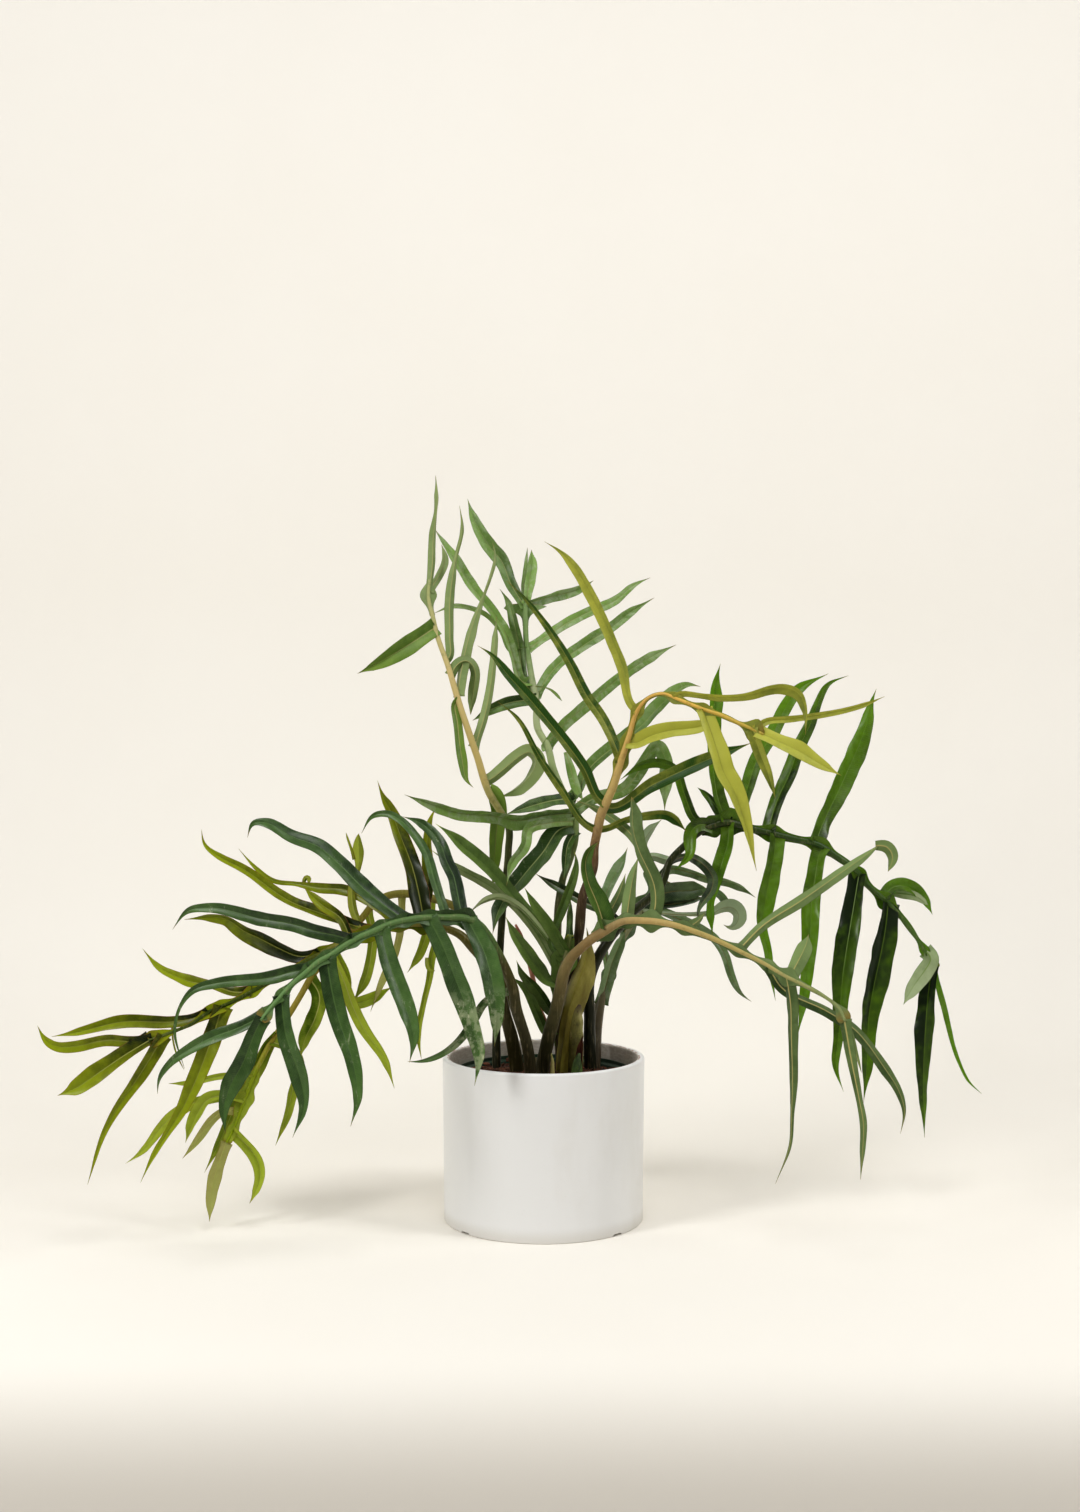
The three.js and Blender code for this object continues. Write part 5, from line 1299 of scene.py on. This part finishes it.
# Low left leaf: arches out low on the left, yellow green and olive, twisted, with red-brown edges.
stalk = [
    (-10, 117, 30, 8), (-12, 153, 30, 7.5), (-26, 197, 31, 7.5), (-38, 232, 32, 7.5), (-51, 262, 34, 7.5),
    (-65, 287, 36, 8), (-81, 306, 38, 8), (-93, 312, 39, 8), (-110, 318, 40, 8), (-128, 322, 41, 8),
    (-142, 323, 41, 8), (-155, 321, 42, 7.5), (-169, 313, 40, 7.5), (-182, 298, 37, 7), (-203, 275, 32, 7),
    (-218, 257, 26, 6.5), (-232, 240, 20, 6.5), (-243, 221, 14, 6), (-255, 201, 5, 6), (-265, 186, -2, 5.5),
    (-274, 172, -8, 5.5), (-285, 151, -17, 5), (-293, 132, -25, 5), (-301, 112, -34, 4.5),
    (-308, 92, -42, 4), (-317, 74, -50, 3.5),
]
lobes = [
    (-20, [(-266, 183, 8), (-277, 172, 10), (-283, 159, 13), (-310, 107, 12), (-324, 74, 8),
           (-339, 44, 1)]),
    (-4, [(-317, 74, 7.2), (-329, 39, 13), (-333, 15, 9), (-334, -5, 1)]),
    (-6, [(-310, 86, 8), (-298, 73, 10), (-286, 57, 12), (-283, 42, 10), (-287, 27, 7), (-294, 13, 1)]),
    (10, [(-298, 121, 6.4), (-327, 119, 8), (-353, 113, 10), (-375, 97, 11), (-405, 62, 5), (-418, 53, 1)]),
    (0, [(-300, 117, 6.4), (-319, 121, 8), (-338, 116, 11), (-345, 105, 11), (-353, 88, 8), (-358, 74, 1)]),
    (0, [(-304, 105, 5.6), (-321, 105, 7), (-333, 95, 8), (-343, 80, 8), (-361, 58, 1)]),
    (14, [(-291, 137, 4.8), (-315, 141, 6), (-356, 134, 5), (-375, 133, 1)]),
    (6, [(-234, 238, 10.4), (-224, 223, 13), (-229, 197, 15), (-239, 177, 12), (-243, 159, 1)]),
    (-6, [(-273, 175, 8), (-253, 167, 10), (-245, 149, 10), (-251, 129, 9), (-255, 107, 8), (-268, 71, 1)]),
    (20, [(-213, 264, 7.2), (-198, 232, 9), (-191, 211, 11), (-182, 192, 11), (-158, 155, 7),
          (-149, 128, 1)]),
    (36, [(-210, 267, 6.4), (-197, 242, 8), (-193, 213, 10), (-177, 216, 12), (-163, 223, 9),
          (-151, 230, 1)]),
    (20, [(-177, 306, 6.4), (-171, 282, 8), (-173, 259, 9), (-179, 235, 9), (-191, 214, 1)]),
    (16, [(-143, 324, 5.6), (-143, 297, 7), (-148, 267, 7), (-161, 238, 7), (-173, 205, 1)]),
    (14, [(-113, 318, 6.4), (-113, 299, 8), (-118, 279, 9), (-125, 261, 8), (-136, 244, 1)]),
    (20, [(-98, 314, 5.6), (-103, 287, 7), (-111, 262, 7), (-114, 238, 6), (-119, 217, 5), (-125, 177, 5),
     (-122, 157, 1)]),
]
leaf("leaf_left_low", 8, leaf_look(
    "low_left_leaf", upper="#4a6600", upper_pale="#ccd656", under="#8a8238", under_pale="#d4cc8c",
    rib="#cac87c", edge="#96602f",
    stalk=[(0.0, "#3a2a18"), (0.15, "#3f4019"), (0.3, "#6c6438"), (0.45, "#7e7836"), (0.6, "#8c8236"),
           (0.8, "#9c8c3c"), (0.88, "#85921c"), (1.0, "#8fa218")],
    glow=0.42, glow_colour="#b7cf3c", edge_share=0.8, climb_share=0.3, shine=0.16),
    "leaf_yellowing", stalk, lobes, turned_over=(1, 5, 12), wave=0.12, roll=28,
    flaps=[(True, [(-116.5, 259, 46, 3), (-116.5, 249, 45, 4), (-112.5, 244, 44, 3.5),
                   (-108.5, 246, 43, 1.5)])],
    tones=(-0.3, 0.4, 0.9, 0.8, 0.6, 0.6, 1, -0.7, 0, 0.9, 0.8, 0, 0.3, 0.3, 0.6))

# Left leaf: the longest of the left side, olive to yellow green with red-brown edges.
stalk = [
    (-26, 113, 2, 14), (-27, 151, 2, 14), (-32, 179, -2, 13), (-39, 206, -5, 11.5), (-45, 232, -8, 11),
    (-57, 253, -12, 10.5), (-70, 268, -14, 10), (-84, 282, -18, 8.5), (-97, 288, -21, 7.5),
    (-118, 292, -26, 6.5), (-143, 291, -33, 6), (-168, 285, -39, 6), (-193, 277, -46, 6),
    (-218, 266, -54, 5.5), (-243, 252, -62, 5.5), (-263, 241, -68, 5.5), (-283, 230, -75, 5),
    (-299, 221, -80, 5), (-315, 213, -86, 4.5), (-334, 205, -92, 4.5), (-353, 192, -99, 4),
    (-373, 184, -105, 4), (-395, 176, -112, 3.5),
]
lobes = [
    (40, [(-119, 292, 14.4), (-124, 320, 21), (-131, 349, 15), (-144, 383, 14), (-152, 404, 10),
          (-161, 420, 6), (-166, 436, 1)]),
    (60, [(-122, 292, 12), (-119, 312, 15), (-115, 337, 13), (-116, 380, 7.5), (-113, 398, 5),
          (-107, 410, 1)]),
    (50, [(-171, 284, 7.2), (-212, 299, 10), (-253, 315, 10), (-303, 349, 8), (-323, 359, 6.5),
          (-340, 373, 5), (-342, 387, 1)]),
    (70, [(-145, 291, 7.2), (-159, 305, 9), (-174, 316, 10), (-199, 327, 10.5), (-225, 329, 9),
          (-247, 333, 4), (-271, 336, 4.5), (-289, 350, 4), (-305, 368, 1)]),
    (30, [(-193, 277, 7.2), (-203, 299, 9), (-221, 311, 10.5), (-231, 320, 7), (-240, 330, 1)]),
    (60, [(-179, 281, 6.4), (-191, 312, 8), (-191, 332, 7), (-185, 349, 5), (-185, 372, 13),
          (-185, 383, 12)]),
    (40, [(-223, 264, 9.6), (-244, 260, 12), (-264, 268, 15.5), (-283, 278, 15.5), (-302, 287, 13),
          (-315, 297, 10), (-333, 300, 7), (-359, 297, 1)]),
    (30, [(-291, 225, 7.2), (-308, 224, 9), (-334, 232, 7), (-352, 234, 12), (-365, 239, 9), (-385, 249, 6),
     (-401, 268, 1)]),
    (16, [(-334, 204, 8), (-351, 198, 10), (-370, 195, 11), (-421, 195, 13), (-472, 183, 6),
          (-492, 180, 1)]),
    (6, [(-391, 177, 8), (-415, 175, 10), (-434, 177, 11), (-472, 170, 10.5), (-487, 170, 8.5),
         (-500, 179, 6), (-506, 191, 1)]),
    (-10, [(-393, 176, 11.2), (-415, 164, 14), (-450, 140, 18), (-468, 128, 14), (-486, 121, 1)]),
    (-20, [(-380, 181, 10.4), (-388, 167, 13), (-399, 149, 13), (-439, 85, 5), (-456, 32, 1)]),
    (-16, [(-321, 211, 15.2), (-332, 177, 19), (-350, 131, 16), (-362, 106, 11), (-375, 85, 6.5),
           (-390, 61, 5), (-403, 34, 1)]),
]
leaf("leaf_left", 7, leaf_look(
    "left_leaf", upper="#1a2600", upper_pale="#b6bc2a", under="#5a6212", under_pale="#b8b850",
    rib="#a5a550", edge="#96552a",
    stalk=[(0.0, "#2a260e"), (0.25, "#4a4524"), (0.4, "#5f5820"), (0.5, "#85803e"), (0.6, "#8f8c44"),
           (0.67, "#44520e"), (0.92, "#3c4c0e"), (1.0, "#6b7638")],
    glow=0.42, glow_colour="#a9c72e", edge_share=0.85, climb_share=1.0, shine=0.14, coat=0.2),
    "leaf_olive", stalk, lobes, turned_over=(5,), wave=0.1, roll=26,
    flaps=[(True, [(-189.5, 357, -8, 3), (-192.5, 369, -9, 2.4), (-196.5, 379, -8, 1.8),
                   (-197.5, 384, -7, 1)]),
           (False, [(-239.5, 330, 14, 2.5), (-239.5, 339, 12, 4), (-236.5, 341, 11, 5),
                    (-232.5, 338, 10, 5), (-235, 333, 9, 2)]),
           (True, [(-371.5, 196, -84, 2), (-370.5, 176, -82, 1.5), (-366.5, 161, -80, 1.3),
                   (-359.5, 147, -79, 0.7)])],
    tones=(-1, -0.7, -0.3, 0.1, -0.5, 0.3, -1, 0.1, -0.1, 0, -0.2, 0.3, 0.3))

# Front left leaf: the largest, arching over the rim with its bluish green upper side to the
# front. Its broad lobes carry whitish scuffs.
stalk = [
    (-12, 111, -38, 12), (-13, 145, -38, 12), (-17, 174, -43, 11.5), (-28, 211, -49, 11),
    (-30, 226, -51, 10.5), (-37, 245, -54, 10), (-46, 264, -61, 9.5), (-56, 281, -67, 9),
    (-65, 292, -72, 8.5), (-78, 298, -79, 8.5), (-97, 299, -87, 8.5), (-116, 299, -96, 8),
    (-135, 297, -105, 8), (-152, 293, -114, 7.5), (-171, 285, -124, 7.5), (-187, 278, -132, 7),
    (-199, 271, -138, 7), (-212, 262, -145, 6.5), (-225, 255, -152, 6.5), (-238, 244, -159, 6),
    (-251, 233, -166, 5.5), (-264, 219, -174, 5), (-273, 209, -180, 4.5), (-283, 196, -188, 4),
]
lobes = [
    (70, [(-139, 297, 12), (-176, 324, 16.5), (-206, 354, 15.5), (-225, 370, 14.5), (-252, 380, 12),
     (-277, 394, 9.5), (-291, 394, 8), (-296, 379, 1)]),
    (60, [(-191, 276, 9.6), (-206, 281, 12), (-222, 284, 13.5), (-252, 293, 13), (-283, 298, 13.5),
          (-335, 309, 9), (-356, 306, 6), (-371, 287, 1)]),
    (24, [(-234, 247, 9.6), (-251, 245, 12), (-268, 240, 13), (-329, 233, 9.5), (-350, 227, 6.5),
          (-363, 211, 3), (-369, 187, 2.5), (-359, 148, 1)]),
    (12, [(-278, 203, 8.8), (-304, 189, 11), (-329, 180, 12.5), (-353, 168, 10), (-375, 152, 6),
          (-385, 137, 4), (-386, 123, 1)]),
    (-18, [(-281, 199, 11.2), (-289, 183, 14), (-301, 152, 20), (-313, 131, 18.5), (-320, 107, 9),
           (-318, 83, 1)]),
    (-20, [(-262, 221, 12), (-258, 183, 15), (-243, 137, 17), (-239, 112, 9), (-251, 79, 1)]),
    (-26, [(-217, 259, 15.2), (-211, 223, 19), (-203, 192, 17.5), (-194, 168, 15.5), (-188, 143, 13),
     (-186, 117, 8), (-193, 90, 1)]),
    (-26, [(-162, 288, 13.6), (-154, 253, 17), (-145, 229, 17.5), (-136, 204, 16), (-130, 180, 10),
           (-134, 154, 1)]),
    (-30, [(-115, 298, 14.4), (-102, 274, 18), (-86, 233, 20.5), (-78, 213, 19.5), (-71, 189, 16),
           (-64, 162, 11), (-69, 131, 1)]),
    (-30, [(-76, 297, 13.6), (-59, 264, 20), (-53, 243, 21), (-49, 223, 19.5), (-47, 199, 13),
           (-49, 170, 1)]),
    (70, [(-97, 299, 7.2), (-110, 340, 9.5), (-116, 361, 8.5), (-129, 382, 7.5), (-142, 396, 7),
          (-155, 403, 6.5), (-171, 401, 5), (-182, 383, 1)]),
    (80, [(-81, 298, 10.4), (-86, 322, 13), (-90, 341, 12.5), (-97, 355, 12), (-102, 371, 11.5),
          (-125, 395, 7.5), (-141, 400, 1)]),
    (34, [(-31, 227, 5.6), (-58, 215, 7.5), (-73, 191, 8), (-86, 174, 7), (-102, 162, 5.5), (-123, 155, 4),
     (-136, 155, 1)]),
]
leaf("leaf_front_left", 6, leaf_look(
    "front_left_leaf", upper="#10290a", upper_pale="#648746", under="#5c6e4c", under_pale="#93a078",
    rib="#6b8a4c", edge="#3c3f28",
    stalk=[(0.0, "#2c2614"), (0.2, "#3c381a"), (0.32, "#4a4418"), (0.4, "#56703a"), (1.0, "#6c8f55")],
    gloss=0.26, painted_sheen=0.12, painted_sheen_colour="#a8b88e", scuffs=0.85, worn=(-0.105, 0.25), glow=0.18,
    glow_colour="#86b440", rib_share=0.45, climb_share=0.5, shine=0.36),
    "leaf_bluish", stalk, lobes, roll=20, fold=19,
    tones=(-0.3, -0.3, 0, 0, -0.3, -0.2, -0.1, 0.1, 0, 0, 0.2, -0.7, 0))

# Front right leaf: rises and falls in one long bow, its dull grey-green under side to the front
# with a tan midrib and pale yellow lobe midribs.
stalk = [
    (-2, 113, -20, 14), (-1, 149, -20, 14), (5, 179, -24, 13.5), (12, 204, -28, 13), (17, 226, -33, 12.5),
    (21, 245, -37, 11.5), (28, 259, -40, 10.5), (39, 270, -45, 10), (50, 279, -50, 9.5), (62, 286, -55, 9),
    (79, 295, -62, 8.5), (101, 296, -70, 8.5), (129, 292, -80, 7.5), (157, 283, -91, 6.5),
    (185, 271, -102, 6), (199, 264, -108, 5.5), (219, 254, -116, 5), (241, 241, -126, 4.5),
    (261, 231, -135, 4.5), (281, 220, -143, 4), (295, 209, -150, 4), (302, 195, -156, 3.5),
]
lobes = [
    (-20, [(301, 197, 8), (306, 167, 10), (316, 116, 6), (320, 94, 7), (319, 66, 5), (317, 37, 1)]),
    (10, [(298, 203, 4.8), (306, 184, 6), (318, 144, 1)]),
    (40, [(225, 251, 6.4), (235, 232, 8), (284, 205, 9), (309, 189, 9.5), (342, 147, 10), (354, 128, 7),
     (361, 105, 5), (357, 83, 1)]),
    (-14, [(243, 240, 9.2), (247, 215, 11.5), (248, 187, 9.5), (249, 130, 7), (248, 102, 3.5), (247, 74, 3),
     (232, 33, 1)]),
    (80, [(195, 266, 7.2), (217, 289, 9), (258, 316, 11), (298, 344, 10), (326, 364, 7), (340, 375, 1)]),
    (40, [(246, 239, 10.4), (258, 262, 15), (263, 273, 14), (265, 282, 1)]),
    (10, [(141, 288, 6.4), (149, 292, 8), (157, 298, 5), (161, 304, 1)]),
    (16, [(107, 296, 10), (112, 309, 12.5), (112, 325, 14), (94, 371, 11.5), (90, 386, 12), (89, 405, 12.5),
     (88, 420, 8)]),
    (110, [(109, 296, 4.8), (112, 315, 6), (109, 332, 6), (102, 355, 6), (94, 372, 7), (85, 385, 9),
           (74, 394, 9.5), (49, 410, 7), (32, 416, 1)]),
    (44, [(83, 295, 10.4), (86, 319, 13), (89, 337, 10), (95, 360, 1)]),
    (40, [(60, 287, 7.2), (67, 305, 9), (74, 318, 10), (82, 343, 1)]),
    (26, [(62, 286, 12.8), (54, 312, 17), (43, 340, 11.5), (42, 357, 9.5), (47, 368, 8), (56, 375, 1)]),
]
leaf("leaf_front_right", 5, leaf_look(
    "front_right_leaf", upper="#3a5a14", upper_pale="#7f9a42", under="#3a5226", under_pale="#93a86c",
    rib="#cdc07c", edge="#5a5434",
    stalk=[(0.0, "#2a280e"), (0.14, "#3a3816"), (0.2, "#565230"), (0.3, "#786a40"), (0.38, "#8c7448"),
           (0.46, "#a08a5c"), (0.52, "#bea46a"), (0.7, "#b6a462"), (0.82, "#b2a567"), (0.92, "#8c965e"),
           (1.0, "#84905c")],
    gloss=0.42, glow=0.26, glow_colour="#9fb95a", crinkle=0.6, rib_share=0.9, sheen=0.15, shine=0.35),
    "leaf_underside", stalk, lobes, upper_front=False, turned_over=(11,),
    tones=(0, 0.7, -0.7, -0.5, 0.7, 1, 0.4, -0.1, 0.3, 0.9, 0.3, -0.7),
    flaps=[(False, [(332, 371, -28, 8), (343, 371, -30, 12), (350, 360, -31, 10), (344.5, 345, -31, 2)])])

# Studio: the plant stands on a seamless cream sweep, with painted shade that greys it near the camera,
# and clear when seen from behind. Soft boxes light the plant from the left, the right and above the
# camera, and two more light the sweep's wall.
SWEEP = "#f6f2ea"
SWEEP_PAINTED_SHADE = "#c3bdb3"
SWEEP_PAINTED_SHADE_FROM = -0.4
SWEEP_PAINTED_SHADE_TO = -0.7
SWEEP_WIDTH = 7.0
SWEEP_FRONT = -3.4
SWEEP_BACK = 0.95
SWEEP_HEIGHT = 3.6
SWEEP_BEND = 0.7
SWEEP_STEPS = 24
SWEEP_SHADE = "#f3eee4"
CROWN = (0, 0, 0.3)
WALL_BOX_SIZE = (0.8, 0.5)
WALL_BOX_POWER = 5.3
AIR = (1.0, 0.99, 0.975, 1.0)
AIR_STRENGTH = 0.17
DISTANCE = (0.76, 0.73, 0.67, 1.0)

sweep_side = [(SWEEP_FRONT, 0.0)]
for k in range(SWEEP_STEPS + 1):
    angle = math.pi / 2 * k / SWEEP_STEPS
    sweep_side.append((SWEEP_BACK - SWEEP_BEND + SWEEP_BEND * math.sin(angle),
                       SWEEP_BEND - SWEEP_BEND * math.cos(angle)))
sweep_side.append((SWEEP_BACK, SWEEP_HEIGHT))
sweep_points = [(x, y, z) for y, z in sweep_side for x in (-SWEEP_WIDTH / 2, SWEEP_WIDTH / 2)]
sweep_faces = [(2 * k, 2 * k + 1, 2 * k + 3, 2 * k + 2) for k in range(len(sweep_side) - 1)]
sweep = new_object("cream_sweep", mesh_from("cream_sweep", sweep_points, sweep_faces))
sweep_look = Look("cream_paper")
paper_grain = sweep_look.noise(sweep_look.place(), 3.0, 3.0)
sweep_colour = sweep_look.mix(paper_grain.step(0.3, 0.7) * 0.25, paint(SWEEP), paint(SWEEP_SHADE))
# Painted shade: the floor's colour turns grey towards the camera, standing in for light falling off at the
# front.
painted_falloff = sweep_look.parts(sweep_look.place())[1].step(SWEEP_PAINTED_SHADE_FROM, SWEEP_PAINTED_SHADE_TO)
sweep_colour = sweep_look.mix(painted_falloff, sweep_colour, paint(SWEEP_PAINTED_SHADE))
sweep.data.materials.append(sweep_look.finish({"Base Color": sweep_colour, "Roughness": 0.85},
                                              one_way=True))


def soft_box(name, place, target, size, power):
    light = bpy.data.lights.new(name, "AREA")
    light.shape = "RECTANGLE"
    light.size, light.size_y = size
    light.energy = power
    box = bpy.data.objects.new(name, light)
    box.location = place
    box.rotation_euler = (Vector(target) - Vector(place)).to_track_quat("-Z", "Y").to_euler()
    bpy.context.scene.collection.objects.link(box)


soft_box("left_box", (-1.6, -1.3, 1.4), CROWN, (0.55, 0.7), 20)
soft_box("right_box", (1.6, -0.75, 1.5), CROWN, (0.5, 0.7), 12)
soft_box("top_box", (0.1, -0.7, 2.3), CROWN, (0.7, 0.6), 10)
for side_name, way in (("left", -1), ("right", 1)):
    soft_box(f"wall_box_{side_name}", (1.5 * way, -0.1, 2.5), (0.3 * way, 0.95, 0.9), WALL_BOX_SIZE,
             WALL_BOX_POWER)
world = bpy.data.worlds.new("studio air")
world.use_nodes = True
air = world.node_tree.nodes
link = world.node_tree.links.new
air["Background"].inputs["Color"].default_value = AIR
air["Background"].inputs["Strength"].default_value = AIR_STRENGTH
distance = air.new("ShaderNodeBackground")
distance.inputs["Color"].default_value = DISTANCE
seen = air.new("ShaderNodeMixShader")
link(air.new("ShaderNodeLightPath").outputs["Is Camera Ray"], seen.inputs[0])
link(air["Background"].outputs[0], seen.inputs[1])
link(distance.outputs[0], seen.inputs[2])
link(seen.outputs[0], air["World Output"].inputs["Surface"])
bpy.context.scene.world = world
bpy.context.scene.view_settings.view_transform = "Standard"
bpy.context.scene.view_settings.look = "Medium High Contrast"

CAMERA_LENS = 42.857
CAMERA_SENSOR = 36.0
CAMERA_SHIFT = -20.4 / 1512
eye = bpy.data.cameras.new("camera")
eye.lens = CAMERA_LENS
eye.sensor_fit = "VERTICAL"
eye.sensor_height = CAMERA_SENSOR
eye.shift_y = CAMERA_SHIFT
camera = bpy.data.objects.new("camera", eye)
camera.location = EYE
camera.rotation_euler = (math.radians(90), 0, 0)
bpy.context.scene.collection.objects.link(camera)
bpy.context.scene.camera = camera
